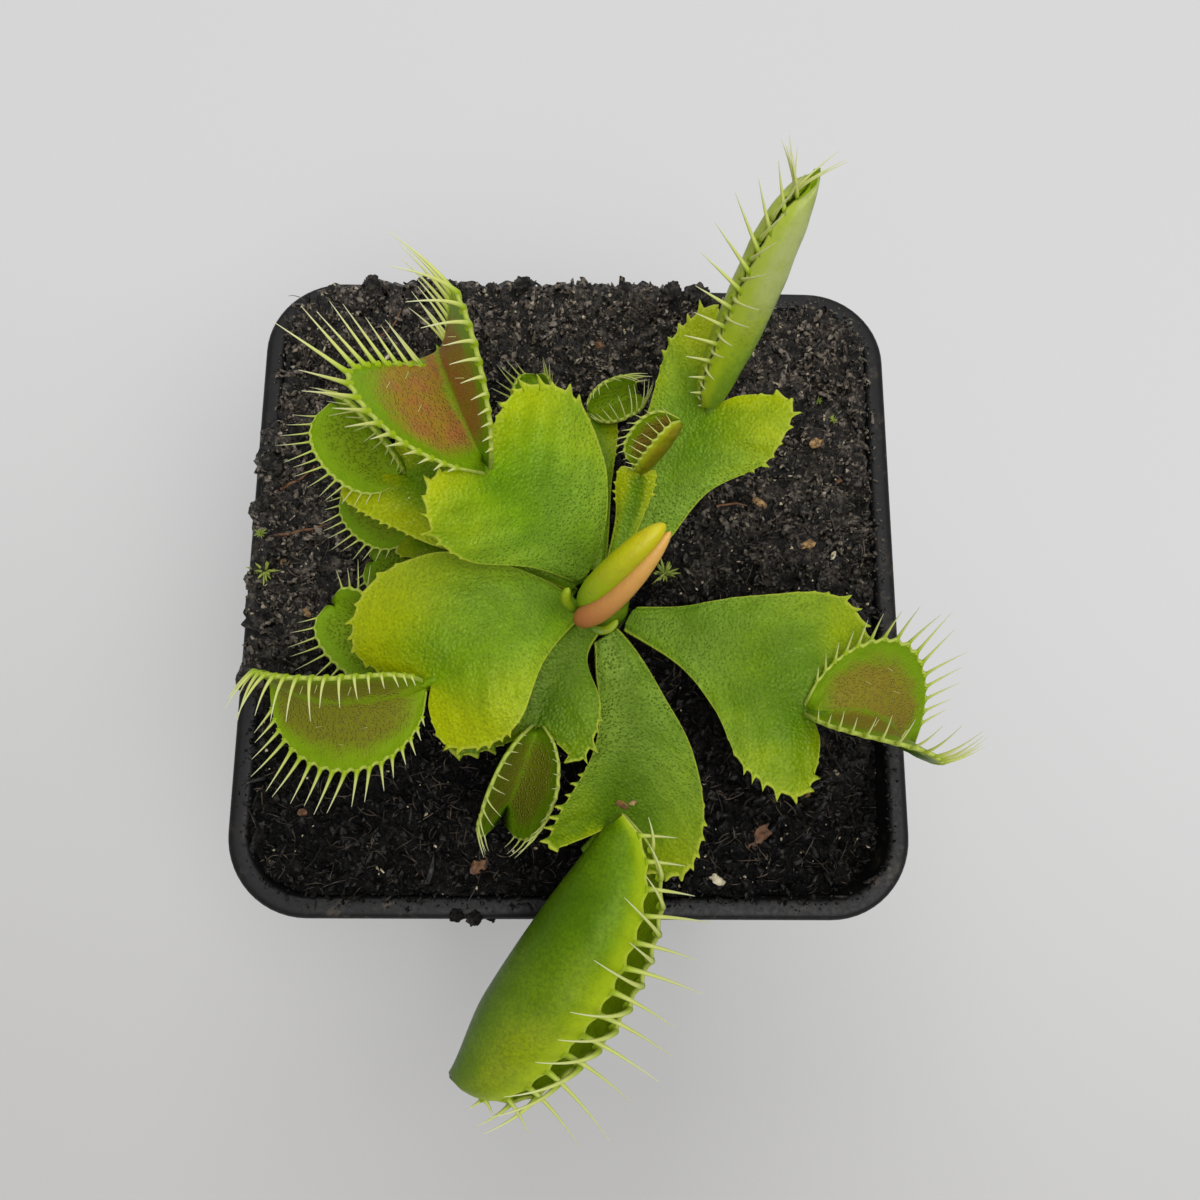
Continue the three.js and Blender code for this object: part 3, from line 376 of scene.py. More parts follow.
class Finish:
    """A node material being built: each method adds one step and gives back its output socket."""

    def __init__(self, name):
        self.material = bpy.data.materials.new(name)
        self.material.use_nodes = True
        self.tree = self.material.node_tree
        self.surface = next(n for n in self.tree.nodes if n.type == "BSDF_PRINCIPLED")
        self.output = next(n for n in self.tree.nodes if n.type == "OUTPUT_MATERIAL")
        self.coords = self.tree.nodes.new("ShaderNodeTexCoord").outputs["Object"]

    def add(self, kind, inputs=None, **settings):
        return add_node(self.tree, kind, inputs, **settings)

    def value(self, name):
        return self.add("ShaderNodeAttribute", attribute_name=name).outputs["Fac"]

    def noise(self, size_mm, detail=4, roughness=0.55):
        inputs = {"Vector": self.coords, "Scale": 1000 / size_mm, "Detail": detail, "Roughness": roughness}
        return self.add("ShaderNodeTexNoise", inputs).outputs["Fac"]

    def cells(self, size_mm, output="Distance"):
        inputs = {"Vector": self.coords, "Scale": 1000 / size_mm}
        return self.add("ShaderNodeTexVoronoi", inputs).outputs[output]

    def axes(self):
        return self.add("ShaderNodeSeparateXYZ", {0: self.coords}).outputs

    def span(self, source, low, high, out_low=0.0, out_high=1.0):
        inputs = {"Value": source, "From Min": low, "From Max": high, "To Min": out_low, "To Max": out_high}
        return self.add("ShaderNodeMapRange", inputs, interpolation_type="SMOOTHSTEP").outputs["Result"]

    def math(self, operation, a, b=0.0):
        return self.add("ShaderNodeMath", {0: a, 1: b}, operation=operation).outputs[0]

    def mix(self, share, a, b):
        return self.add("ShaderNodeMix", {0: share, 6: a, 7: b}, data_type="RGBA").outputs[2]

    def set(self, **inputs):
        """Sets or links inputs of the surface, their names in lower case with underscores."""
        named = {key.replace("_", " ").title().replace("Ior", "IOR"): value for key, value in inputs.items()}
        fill_inputs(self.tree, self.surface, named)

    def bump(self, height, distance_mm, strength):
        inputs = {"Height": height, "Distance": distance_mm * MM, "Strength": strength}
        self.set(normal=self.add("ShaderNodeBump", inputs).outputs["Normal"])

    def glow_through(self, colour, share):
        """Lets a share of the light through, as a thin leaf does."""
        through = self.add("ShaderNodeBsdfTranslucent", {"Color": colour})
        blend = self.add("ShaderNodeMixShader", {0: share, 1: self.surface.outputs[0], 2: through.outputs[0]})
        self.tree.links.new(blend.outputs[0], self.output.inputs["Surface"])


def leaf_green(f):
    """The leaves' green: darker at the base, golden at the margin, with each leaf's own cast and painted
    shade.
    """
    patch = f.noise(8, 3)
    small = f.noise(2.2, 4, 0.6)
    ripe = f.math("ADD", f.math("MULTIPLY", f.value("gold"), 0.85), f.span(patch, 0.3, 0.75, -0.14, 0.22))
    ripe = f.math("MULTIPLY", ripe, f.span(f.value("edge"), 0.1, 1.0, 0.25, 1.25))
    ripe = f.math("MULTIPLY", ripe, f.span(f.value("along"), 0.1, 0.95, 0.3, 1.2))
    green = f.mix(f.span(patch, 0.3, 0.7), srgb(100, 146, 2), srgb(138, 184, 4))
    green = f.mix(f.span(small, 0.35, 0.7, 0, 0.3), green, srgb(66, 104, 2))
    colour = f.mix(f.span(ripe, 0.08, 0.85), green, srgb(186, 198, 1))
    # painted shade: the leaf's shade value darkens it, added to a darker green towards the midrib and a fine
    # mottle
    shaded = f.math("MULTIPLY", f.value("shade"), 0.9)
    shade_and_deep_green = f.math("ADD", shaded, f.span(f.value("edge"), 0.05, 0.8, 0.24, 0.0))
    shade_and_deep_green = f.math("ADD", shade_and_deep_green, f.span(f.noise(0.26, 3, 0.6), 0.34, 0.66, -0.08, 0.14))
    return f.mix(shade_and_deep_green, colour, srgb(44, 70, 1))


def soft_sheen(f, roughness, specular, red=0.6, blue=0.15):
    """The waxy shine of a leaf, with a little light spread below its skin."""
    f.set(roughness=roughness, specular_ior_level=specular, specular_tint=(0.8, 1.0, 0.3, 1),
          subsurface_weight=0.12, subsurface_scale=0.0012, subsurface_radius=(red, 1.0, blue))


def make_blade_finish():
    f = Finish("leaf_blade")
    colour = leaf_green(f)
    near_base = f.math("MULTIPLY", f.span(f.value("along"), 0.25, 0.9, 1.0, 0.0), f.value("speckle"))
    field = f.math("MULTIPLY", near_base, f.span(f.noise(5, 2), 0.3, 0.6, 0.5, 1))
    dots = f.span(f.cells(0.31), 0.12, 0.5, 1.0, 0.0)
    speckle = f.math("MULTIPLY", dots, field)
    colour = f.mix(f.math("MULTIPLY", field, 0.6), colour, srgb(146, 176, 70))
    colour = f.mix(f.math("MULTIPLY", speckle, 0.8), colour, srgb(44, 82, 2))
    far_dots = f.span(f.cells(0.42), 0.1, 0.4, 0.28, 0.0)
    colour = f.mix(far_dots, colour, srgb(62, 98, 2))
    rim = f.span(f.value("edge"), 0.96, 1.0)
    colour = f.mix(f.math("MULTIPLY", rim, 0.6), colour, srgb(196, 204, 70))
    # painted glints: small white specks for the blade's sparkle
    dust_and_glints = f.span(f.cells(2.6), 0.018, 0.038, 1.0, 0.0)
    colour = f.mix(f.math("MULTIPLY", dust_and_glints, 0.8), colour, srgb(235, 236, 210))
    pucker = f.noise(1.7, 4, 0.6)
    soft_sheen(f, f.span(f.noise(0.9, 4), 0.3, 0.7, 0.26, 0.4), 0.36)
    f.set(base_color=colour)
    pits = f.math("ADD", f.math("MULTIPLY", f.cells(0.36), 0.5), pucker)
    f.bump(f.math("SUBTRACT", pits, f.math("MULTIPLY", speckle, 0.6)), 0.2, 0.75)
    f.glow_through(f.mix(0.5, colour, srgb(190, 212, 4)), 0.14)
    return f.material


def make_trap_outside_finish():
    f = Finish("trap_outside")
    colour = leaf_green(f)
    colour = f.mix(f.span(f.value("edge"), 0.62, 0.98, 0, 0.55), colour, srgb(150, 184, 4))
    colour = f.mix(f.span(f.value("edge"), 0.95, 1.0, 0, 0.6), colour, srgb(196, 208, 80))
    grain = f.noise(0.45, 5, 0.7)
    rusty = f.math("MULTIPLY", f.value("rust"), f.span(f.noise(1.2), 0.25, 0.6, 0.6, 1))
    colour = f.mix(rusty, colour, srgb(134, 104, 22))
    colour = f.mix(f.span(grain, 0.45, 0.7, 0, 0.4), colour, srgb(62, 92, 2))
    far = f.span(f.value("along"), 0.3, 0.75, 0.1, 1)
    pale = f.math("MULTIPLY", f.value("bloom"), far)
    pale = f.math("MULTIPLY", pale, f.span(f.noise(3, 5), 0.3, 0.6, 0.45, 1))
    colour = f.mix(pale, colour, srgb(200, 208, 140))
    band = f.math("MULTIPLY", f.span(f.value("edge"), 0.76, 0.93, 0, 0.7), f.value("gold"))
    colour = f.mix(band, colour, srgb(186, 204, 32))
    soft_sheen(f, f.span(grain, 0.3, 0.7, 0.32, 0.48), 0.32)
    f.set(base_color=colour)
    f.bump(f.math("ADD", f.noise(0.8, 5), f.math("MULTIPLY", f.cells(0.35), 0.5)), 0.07, 0.4)
    f.glow_through(srgb(190, 214, 8), 0.15)
    return f.material


def make_trap_inside_finish():
    f = Finish("trap_inside")
    # the leaf's shade value darkens the inside, partly as painted shade
    green = f.mix(f.math("MULTIPLY", f.value("shade"), 0.9), srgb(118, 162, 18), srgb(56, 84, 3))
    colour = f.mix(f.math("MULTIPLY", f.value("gold"), 0.45), green, srgb(180, 196, 16))
    mottle = f.noise(0.7, 5, 0.65)
    colour = f.mix(f.span(mottle, 0.5, 0.72, 0, 0.4), colour, srgb(96, 136, 10))
    ragged = f.math("ADD", f.value("edge"), f.span(f.noise(1.6, 4, 0.5), 0.3, 0.7, -0.05, 0.05))
    inner = f.math("MULTIPLY", f.span(ragged, 0.5, 0.86, 1, 0), f.span(ragged, 0.0, 0.12, 0.3, 1))
    middle = f.span(f.value("along"), 0.03, 0.3)
    patch = f.math("MULTIPLY", inner, f.math("MULTIPLY", middle, f.span(f.value("along"), 0.99, 0.8)))
    olive = f.mix(f.math("MULTIPLY", f.value("shade"), 0.8), srgb(136, 136, 34), srgb(70, 74, 6))
    rosy = f.mix(f.span(f.noise(2.4, 4), 0.35, 0.68), srgb(174, 112, 60), srgb(164, 134, 42))
    red = f.mix(f.span(f.value("flush"), 0.45, 1.0), olive, rosy)
    glands = f.span(f.cells(0.3), 0.1, 0.5, 1, 0)
    red = f.mix(f.math("MULTIPLY", glands, 0.45), red, srgb(196, 168, 96))
    colour = f.mix(f.math("MULTIPLY", patch, f.span(f.value("flush"), 0.0, 0.4)), colour, red)
    colour = f.mix(f.span(f.value("edge"), 0.97, 1.0, 0, 0.6), colour, srgb(212, 220, 110))
    soft_sheen(f, f.span(glands, 0, 1, 0.46, 0.3), 0.3, 0.9, 0.2)
    f.set(base_color=colour)
    stipple = f.math("MULTIPLY", glands, f.math("ADD", f.math("MULTIPLY", patch, 1.4), 0.2))
    f.bump(f.math("ADD", stipple, f.math("MULTIPLY", mottle, 0.8)), 0.15, 0.8)
    f.glow_through(f.mix(0.4, colour, srgb(190, 210, 10)), 0.14)
    return f.material


def make_cilia_finish():
    f = Finish("cilia")
    along = f.value("along")
    colour = f.mix(f.span(along, 0.05, 0.4), srgb(168, 196, 30), srgb(222, 228, 132))
    colour = f.mix(f.span(along, 0.45, 1.0), colour, srgb(240, 240, 190))
    # painted shade: the cilia darken with their leaf's shade value
    colour = f.mix(f.math("MULTIPLY", f.value("shade"), 0.4), colour, srgb(130, 150, 60))
    soft_sheen(f, 0.36, 0.3, 1.0, 0.4)
    f.set(base_color=colour)
    f.glow_through(srgb(230, 234, 140), 0.2)
    return f.material


def make_young_finish(name, near, far):
    f = Finish(name)
    colour = f.mix(f.span(f.value("along"), 0.1, 0.9), near, far)
    colour = f.mix(f.span(f.noise(1.1, 4), 0.45, 0.75, 0, 0.25), colour, srgb(150, 120, 40))
    f.set(base_color=colour, roughness=0.42, specular_ior_level=0.35,
          subsurface_weight=0.2, subsurface_scale=0.0015, subsurface_radius=(1.0, 0.8, 0.2))
    f.bump(f.math("ADD", f.cells(0.35), f.noise(0.8, 3)), 0.08, 0.35)
    return f.material


def make_peat_finish():
    f = Finish("peat")
    grain = f.noise(0.8, 6, 0.7)
    grit = f.cells(0.55)
    stretched = f.add("ShaderNodeMapping", {"Vector": f.coords, "Scale": (1, 0.2, 1)}).outputs[0]
    inputs = {"Vector": stretched, "Scale": 1500.0, "Detail": 5.0, "Roughness": 0.7, "Distortion": 1.6}
    fibre = f.add("ShaderNodeTexNoise", inputs).outputs["Fac"]
    dry, hollow_shade = f.value("dry"), f.value("hollow_shade")
    low = f.mix(dry, srgb(5, 5, 5), srgb(26, 23, 21))
    high = f.mix(dry, srgb(24, 21, 19), srgb(112, 103, 92))
    colour = f.mix(f.span(grain, 0.42, 0.68), low, high)
    pale = f.mix(dry, srgb(56, 50, 44), srgb(158, 148, 130))
    colour = f.mix(f.span(fibre, 0.58, 0.7, 0, 0.85), colour, pale)
    # painted shade: the peat's hollows are darkened towards black
    colour = f.mix(f.math("MULTIPLY", hollow_shade, 0.85), colour, srgb(6, 6, 6))
    shine = f.span(dry, 0.0, 1.0, 0.16, 0.42)
    f.set(base_color=colour, roughness=f.span(grain, 0.35, 0.65, 0.6, 0.24), specular_ior_level=shine)
    f.bump(f.math("ADD", f.math("ADD", grain, fibre), f.math("MULTIPLY", grit, 0.5)), 0.4, 0.9)
    return f.material


def make_crumb_finish():
    f = Finish("peat_crumbs")
    tone = f.add("ShaderNodeSeparateColor", {0: f.cells(0.36, "Color")}).outputs
    grain = f.noise(0.4, 5, 0.65)
    place = f.axes()
    left = f.math("MULTIPLY", f.span(place[0], -0.018, -0.031), f.span(place[1], -0.015, -0.003))
    dry = f.math("MAXIMUM", f.span(place[1], -0.016, 0.024), left)
    high = f.mix(dry, srgb(26, 24, 22), srgb(120, 110, 98))
    pale = f.mix(dry, srgb(58, 52, 46), srgb(118, 108, 98))
    colour = f.mix(f.span(tone[0], 0.3, 1.0), srgb(6, 6, 6), high)
    colour = f.mix(f.span(grain, 0.54, 0.72, 0, 0.55), colour, pale)
    glint = f.span(tone[1], 0.93, 0.97)
    colour = f.mix(f.math("MULTIPLY", glint, f.span(dry, 0.0, 1.0, 0.06, 0.7)), colour, srgb(176, 164, 142))
    f.set(base_color=colour, roughness=f.span(grain, 0.3, 0.7, 0.5, 0.2), specular_ior_level=0.24)
    f.bump(grain, 0.22, 0.7)
    return f.material


def make_plain_finish(name, low, high, size_mm, roughness, bump_mm=0.1, specular=0.4):
    f = Finish(name)
    grain = f.noise(size_mm, 5)
    colour = f.mix(f.span(grain, 0.3, 0.7), low, high)
    f.set(base_color=colour, roughness=roughness, specular_ior_level=specular)
    f.bump(grain, bump_mm, 0.6)
    return f.material


def make_pot_finish():
    f = Finish("pot_plastic")
    dust_and_glints = f.span(f.noise(1.4, 6, 0.7), 0.5, 0.72)
    smear = f.span(f.noise(9, 4), 0.45, 0.7)
    rim = f.span(f.axes()[2], 0.058, 0.066)
    share = f.math("ADD", f.math("MULTIPLY", rim, 0.6), 0.1)
    dirt = f.math("MULTIPLY", f.math("MULTIPLY", dust_and_glints, smear), share)
    colour = f.mix(dirt, srgb(15, 15, 16), srgb(96, 84, 68))
    f.set(base_color=colour, roughness=f.span(f.noise(0.5, 3), 0.3, 0.7, 0.42, 0.58), specular_ior_level=0.28)
    f.bump(f.noise(0.35, 4), 0.03, 0.4)
    return f.material


def make_floor_finish():
    """A plain pale board with painted shade: darker towards the front and the left."""
    f = Finish("floor")
    place = f.axes()
    # painted shade: the colour darkens towards the front and the left
    back = f.span(f.math("ADD", place[1], f.math("MULTIPLY", place[0], 0.3)), -0.14, 0.06)
    colour = f.mix(back, srgb(190, 189, 188), srgb(210, 210, 210))
    f.set(base_color=colour, roughness=0.85, specular_ior_level=0.05)
    return f.material


def make_root_finish():
    """White below the peat, green where the leaf bases leave it."""
    f = Finish("rhizome")
    height = f.axes()[2]
    pale = f.mix(f.span(f.noise(1.2), 0.3, 0.7), srgb(190, 180, 140), srgb(222, 214, 178))
    green = f.mix(f.span(f.noise(2.0), 0.3, 0.7), srgb(70, 98, 6), srgb(112, 140, 20))
    colour = f.mix(f.span(height, 0.062, 0.067), pale, green)
    f.set(base_color=colour, roughness=0.5, specular_ior_level=0.25)
    return f.material


FINISH = dict(
    blade=make_blade_finish(),
    outside=make_trap_outside_finish(),
    inside=make_trap_inside_finish(),
    cilia=make_cilia_finish(),
    fold_green=make_young_finish("young_fold_green", srgb(112, 152, 6), srgb(196, 186, 8)),
    fold_salmon=make_young_finish("young_fold_salmon", srgb(158, 92, 50), srgb(216, 166, 84)),
    curl=make_young_finish("young_curl", srgb(82, 116, 8), srgb(138, 160, 16)),
    peat=make_peat_finish(),
    crumbs=make_crumb_finish(),
    fibres=make_plain_finish("peat_fibres", srgb(14, 12, 10), srgb(96, 84, 72), 4, 0.35, 0.1, 0.3),
    # pale grains that stand partly for the wet peat's painted glints
    glint=make_plain_finish("peat_grains", srgb(150, 136, 108), srgb(214, 202, 172), 0.4, 0.6),
    twig=make_plain_finish("twig", srgb(70, 46, 30), srgb(120, 84, 56), 0.8, 0.65),
    scrap=make_plain_finish("dead_scrap", srgb(62, 44, 16), srgb(132, 96, 40), 0.5, 0.7),
    bark=make_plain_finish("bark_chip", srgb(84, 62, 38), srgb(176, 140, 92), 0.5, 0.7, 0.2),
    perlite=make_plain_finish("perlite", srgb(168, 156, 126), srgb(206, 198, 170), 0.5, 0.8),
    moss=make_plain_finish("moss", srgb(104, 124, 36), srgb(168, 178, 84), 0.9, 0.55),
    pot=make_pot_finish(),
    root=make_root_finish(),
    floor=make_floor_finish(),
)


# ---- Geometry Nodes trees -----------------------------------------------------------------------

def new_tree(name, inputs):
    """A tree with those inputs beside its geometry, and the sockets that they come in by."""
    tree = bpy.data.node_groups.new(name, "GeometryNodeTree")
    tree.interface.new_socket("Geometry", in_out="INPUT", socket_type="NodeSocketGeometry")
    for label, kind, default in inputs:
        socket = tree.interface.new_socket(label, in_out="INPUT", socket_type=kind)
        if default is not None:
            socket.default_value = default
    tree.interface.new_socket("Geometry", in_out="OUTPUT", socket_type="NodeSocketGeometry")
    return tree, tree.nodes.new("NodeGroupInput").outputs


def end_tree(tree, geometry, finish):
    """Ends the tree: instances made real, in the finish that is asked for."""
    real = add_node(tree, "GeometryNodeRealizeInstances", {"Geometry": geometry})
    paint = add_node(tree, "GeometryNodeSetMaterial", {"Geometry": real.outputs[0], "Material": finish})
    add_node(tree, "NodeGroupOutput", {0: paint.outputs[0]})
    return tree


def point_value(tree, name):
    """The mesh's own value of that name at each point."""
    node = add_node(tree, "GeometryNodeInputNamedAttribute", {"Name": name}, data_type="FLOAT")
    return node.outputs["Attribute"]


def random_between(tree, seed, kind, low, high):
    """A random number or turn for each point."""
    node = add_node(tree, "FunctionNodeRandomValue", {"Seed": seed}, data_type=kind)
    least, most = [s for s in node.inputs if s.enabled and s.name in ("Min", "Max")]
    least.default_value, most.default_value = low, high
    return next(s for s in node.outputs if s.enabled)


def run_tree(source, tree, name, **inputs):
    """The plain piece that the tree makes from the source object, which is then removed."""
    modifier = source.modifiers.new(tree.name, "NODES")
    modifier.node_group = tree
    names = {s.name: s.identifier for s in tree.interface.items_tree if s.in_out == "INPUT"}
    for label, value in inputs.items():
        modifier[names[label.replace("_", " ").capitalize()]] = value
    evaluated = source.evaluated_get(bpy.context.evaluated_depsgraph_get())
    mesh = bpy.data.meshes.new_from_object(evaluated)
    mesh.name = name
    bpy.data.objects.remove(source)
    return placed(name, mesh)


def make_strand_tree():
    """Round tapering strands along a mesh's edges: each point's own radius, closed at both ends."""
    inputs = [("Sides", "NodeSocketInt", 6), ("Finish", "NodeSocketMaterial", None)]
    tree, given = new_tree("tapered_strands", inputs)
    radius = point_value(tree, "radius")
    path = add_node(tree, "GeometryNodeMeshToCurve", {0: given["Geometry"]})
    sized = add_node(tree, "GeometryNodeSetCurveRadius", {"Curve": path.outputs[0], "Radius": radius})
    ring = add_node(tree, "GeometryNodeCurvePrimitiveCircle", {"Resolution": given["Sides"], "Radius": 1.0})
    skin = add_node(tree, "GeometryNodeCurveToMesh", {
        "Curve": sized.outputs[0], "Profile Curve": ring.outputs[0], "Scale": radius, "Fill Caps": True})
    return end_tree(tree, skin.outputs[0], given["Finish"])


LARGE_LUMPS_RARE = 2.4  # the power that makes small lumps more common than large ones


def make_scatter_tree():
    """Lumps strewn over a surface, turned at random, no larger than the surface's own room for them."""
    tree, given = new_tree("strewn_lumps", [
        ("Lumps", "NodeSocketCollection", None), ("Per square metre", "NodeSocketFloat", 1e6),
        ("Smallest", "NodeSocketFloat", 0.3), ("Largest", "NodeSocketFloat", 1.0),
        ("Seed", "NodeSocketInt", 1), ("Finish", "NodeSocketMaterial", None)])
    seed = given["Seed"]
    spread = add_node(tree, "GeometryNodeDistributePointsOnFaces", {
        "Mesh": given["Geometry"], "Density": given["Per square metre"], "Seed": seed})
    share = random_between(tree, seed, "FLOAT", 0.0, 1.0)
    mostly_small = add_node(tree, "ShaderNodeMath", {0: share, 1: LARGE_LUMPS_RARE}, operation="POWER")
    size = add_node(tree, "ShaderNodeMapRange", {
        "Value": mostly_small.outputs[0], "To Min": given["Smallest"], "To Max": given["Largest"]})
    fitting = {0: size.outputs["Result"], 1: point_value(tree, "room")}
    scale = add_node(tree, "ShaderNodeMath", fitting, operation="MULTIPLY")
    shapes = add_node(tree, "GeometryNodeCollectionInfo", {
        "Collection": given["Lumps"], "Separate Children": True, "Reset Children": True})
    place = add_node(tree, "GeometryNodeInstanceOnPoints", {
        "Points": spread.outputs["Points"], "Instance": shapes.outputs[0], "Pick Instance": True,
        "Rotation": random_between(tree, seed, "FLOAT_VECTOR", (0, 0, 0), (6.28, 6.28, 6.28)),
        "Scale": scale.outputs[0]})
    return end_tree(tree, place.outputs[0], given["Finish"])


STRANDS = make_strand_tree()
STREWN = make_scatter_tree()


def strands(name, paths, radii, finish, sides=6, values=None):
    """Strands along paths of points in millimetres, with a radius at each point."""
    points, edges, start = np.concatenate(paths), [], 0
    for path in paths:
        edges += [(start + k, start + k + 1) for k in range(len(path) - 1)]
        start += len(path)
    mesh = bpy.data.meshes.new(name)
    mesh.from_pydata((points * MM).tolist(), edges, [])
    along = np.concatenate([np.linspace(0, 1, len(path)) for path in paths])
    own = everywhere(values or {}, along.shape)
    set_values(mesh, dict(radius=np.concatenate(radii) * MM, along=along, **own))
    piece = run_tree(placed(name, mesh), STRANDS, name, sides=sides, finish=finish)
    for polygon in piece.data.polygons:
        polygon.use_smooth = True
    return piece


# ---- sheets with thickness ----------------------------------------------------------------------

def thick_sheet(name, points, normals, thickness, finishes, values):
    """A closed shell about a grid of points (rows, columns, 3): faces along the normals carry the first
    finish and the faces behind the second, and the long edges are rounded."""
    rows, columns = points.shape[:2]
    half = (thickness / 2)[..., None]
    front, back = points + normals * half, points - normals * half
    outward = np.stack([unit(points[:, 0] - points[:, 1]), unit(points[:, -1] - points[:, -2])], 1)
    edges = np.stack([points[:, 0], points[:, -1]], 1) + outward * thickness[:, [0, -1]][..., None] * 0.45
    count = rows * columns
    grid = np.arange(count).reshape(rows, columns)
    rim = 2 * count + np.arange(rows * 2).reshape(rows, 2)
    a, b, c, d = grid[:-1, :-1], grid[:-1, 1:], grid[1:, 1:], grid[1:, :-1]
    quads = np.stack([a, b, c, d], -1).reshape(-1, 4)
    faces = [quads, quads[:, ::-1] + count]
    for side, column in ((0, 0), (1, columns - 1)):
        top, bottom, edge = grid[:, column], grid[:, column] + count, rim[:, side]
        faces.append(np.stack([top[:-1], top[1:], edge[1:], edge[:-1]], -1))
        faces.append(np.stack([edge[:-1], edge[1:], bottom[1:], bottom[:-1]], -1))
    sizes = [len(f) for f in faces]
    faces = np.concatenate(faces).tolist()
    for row in (0, rows - 1):
        top, bottom = grid[row], grid[row] + count
        faces += [[top[k], top[k + 1], bottom[k + 1], bottom[k]] for k in range(columns - 1)]
        faces += [[top[0], bottom[0], rim[row, 0]], [top[-1], bottom[-1], rim[row, 1]]]
    kinds = [0] * sizes[0] + [1] * sizes[1] + [0] * (len(faces) - sizes[0] - sizes[1])
    numbers = {}
    for key, grid_values in values.items():
        full = np.broadcast_to(np.asarray(grid_values, float), (rows, columns))
        numbers[key] = np.concatenate([full.ravel(), full.ravel(), full[:, [0, -1]].ravel()])
    everything = np.concatenate([front.reshape(-1, 3), back.reshape(-1, 3), edges.reshape(-1, 3)])
    return mesh_object(name, everything, faces, finishes, kinds, numbers)


# ---- blades -------------------------------------------------------------------------------------

class Midrib:
    """The curve a blade is built on, measured along its length."""

    def __init__(self, leaf):
        azimuth, h = leaf["base"]
        reach = CROWN["radius"] + GAP + HALF_FOOT
        turn = math.radians(azimuth)
        base = rim_point(CROWN["x"] + reach * math.cos(turn), CROWN["y"] + reach * math.sin(turn), h)
        mid, neck = rim_point(*leaf["mid"]), rim_point(*leaf["neck"])
        control = bend_for(base, mid, neck)
        t = np.linspace(0, 1, 401)[:, None]
        self.points = arc(base, control, neck, t)
        self.tangents = unit(2 * (1 - t) * (control - base) + 2 * t * (neck - control))
        self.lengths = run_length(self.points)
        self.length = self.lengths[-1]

    def at(self, along):
        """The point and the direction at those distances along the curve."""
        inside = np.clip(along, 0, self.length)
        pick = lambda data: np.stack([np.interp(inside, self.lengths, data[:, k]) for k in range(3)], -1)
        return pick(self.points), unit(pick(self.tangents))


def blade_surface(leaf, midrib, along, out):
    """Points and normals of a blade at distances along its midrib and out from it, right positive."""
    point, tangent = midrib.at(along)
    past = np.maximum(0, along - midrib.length)[..., None]
    point = point + tangent * past - np.array([0, 0, 1]) * leaf["droop"] * past**2
    across = unit(np.stack([tangent[..., 1], -tangent[..., 0], np.zeros(tangent.shape[:-1])], -1))
    normal = unit(np.cross(across, tangent))
    angle = -math.radians(leaf["roll"])
    turned = lambda v: v * math.cos(angle) + np.cross(tangent, v) * math.sin(angle)
    across, normal = turned(across), turned(normal)
    lift = leaf["valley"] * np.abs(out) - leaf["arch"] * out**2
    return point + across * out[..., None] + normal * lift[..., None], normal


def smooth_outline(points, count):
    """Points evenly spaced on a smooth curve through the given ones (centripetal spline)."""
    p = np.asarray(points, float)
    p = np.concatenate([[2 * p[0] - p[1]], p, [2 * p[-1] - p[-2]]])
    line = []
    for k in range(1, len(p) - 2):
        quad = p[k - 1 : k + 3]
        steps = np.maximum(np.linalg.norm(np.diff(quad, axis=0), axis=1), 1e-6)
        knots = np.concatenate([[0], np.cumsum(steps**0.5)])
        t = np.linspace(knots[1], knots[2], 40, endpoint=False)[:, None]
        blend = lambda a, b, i, j: ((knots[j] - t) * a + (t - knots[i]) * b) / (knots[j] - knots[i])
        a1, a2, a3 = (blend(quad[i], quad[i + 1], i, i + 1) for i in range(3))
        line.append(blend(blend(a1, a2, 0, 2), blend(a2, a3, 1, 3), 1, 2))
    line = np.concatenate([*line, p[-2][None]])
    run = run_length(line)
    even = np.linspace(0, run[-1], count + 1)
    return np.stack([np.interp(even, run, line[:, k]) for k in range(2)], -1), run[-1]


def blade_half(leaf, length, side, share, b, big, seed):
    """Half a blade: grids of how far along and out its points lie, from the midrib to the toothed margin,
    of how near the margin they are, and of how far the margin waves up and down."""
    outline = leaf["right"] if side > 0 else leaf["left"]
    edge, run = smooth_outline([[s * length, w] for s, w in outline] + [[length, 0]], len(share) - 1)
    step = unit(np.gradient(edge, axis=0) + 1e-9)
    distance = share * run
    rng = np.random.default_rng(seed + side)
    marks = np.arange(0, run + 2, 1.0)
    pitch, height = (1.5, 1.35) if big else (1.0, 0.75)
    phase = (distance / pitch + np.interp(distance, marks, 0.5 * rng.random(len(marks))) + 0.37 * side) % 1
    rise, fall = np.clip((phase - 0.35) / 0.45, 0, 1) ** 3, np.clip((1.0 - phase) / 0.2, 0, 1) ** 1.3
    tooth = np.where(phase < 0.8, rise, fall)
    each = np.interp(distance, marks, 0.2 + 0.8 * rng.random(len(marks)) ** 1.2)
    fade = smoothstep(0.44, 0.6, share) * smoothstep(0.9, 0.78, share)
    tooth = height * tooth * each * fade
    outward = np.stack([-step[:, 1], step[:, 0]], -1) + 0.5 * step
    wave = 0.3 * lattice_noise(distance, np.full_like(distance, 3.3 * side), 6, seed + 9, 2)
    wave = wave * smoothstep(0.2, 0.5, share)
    grow = smoothstep(0.93, 1.0, b)
    along = (1 - b) * (length * share)[:, None] + b * edge[:, :1] + grow * (tooth * outward[:, 0])[:, None]
    out = b * edge[:, 1:] + grow * (tooth * outward[:, 1])[:, None]
    return along, side * out, np.broadcast_to(b, out.shape), wave[:, None] * b**3


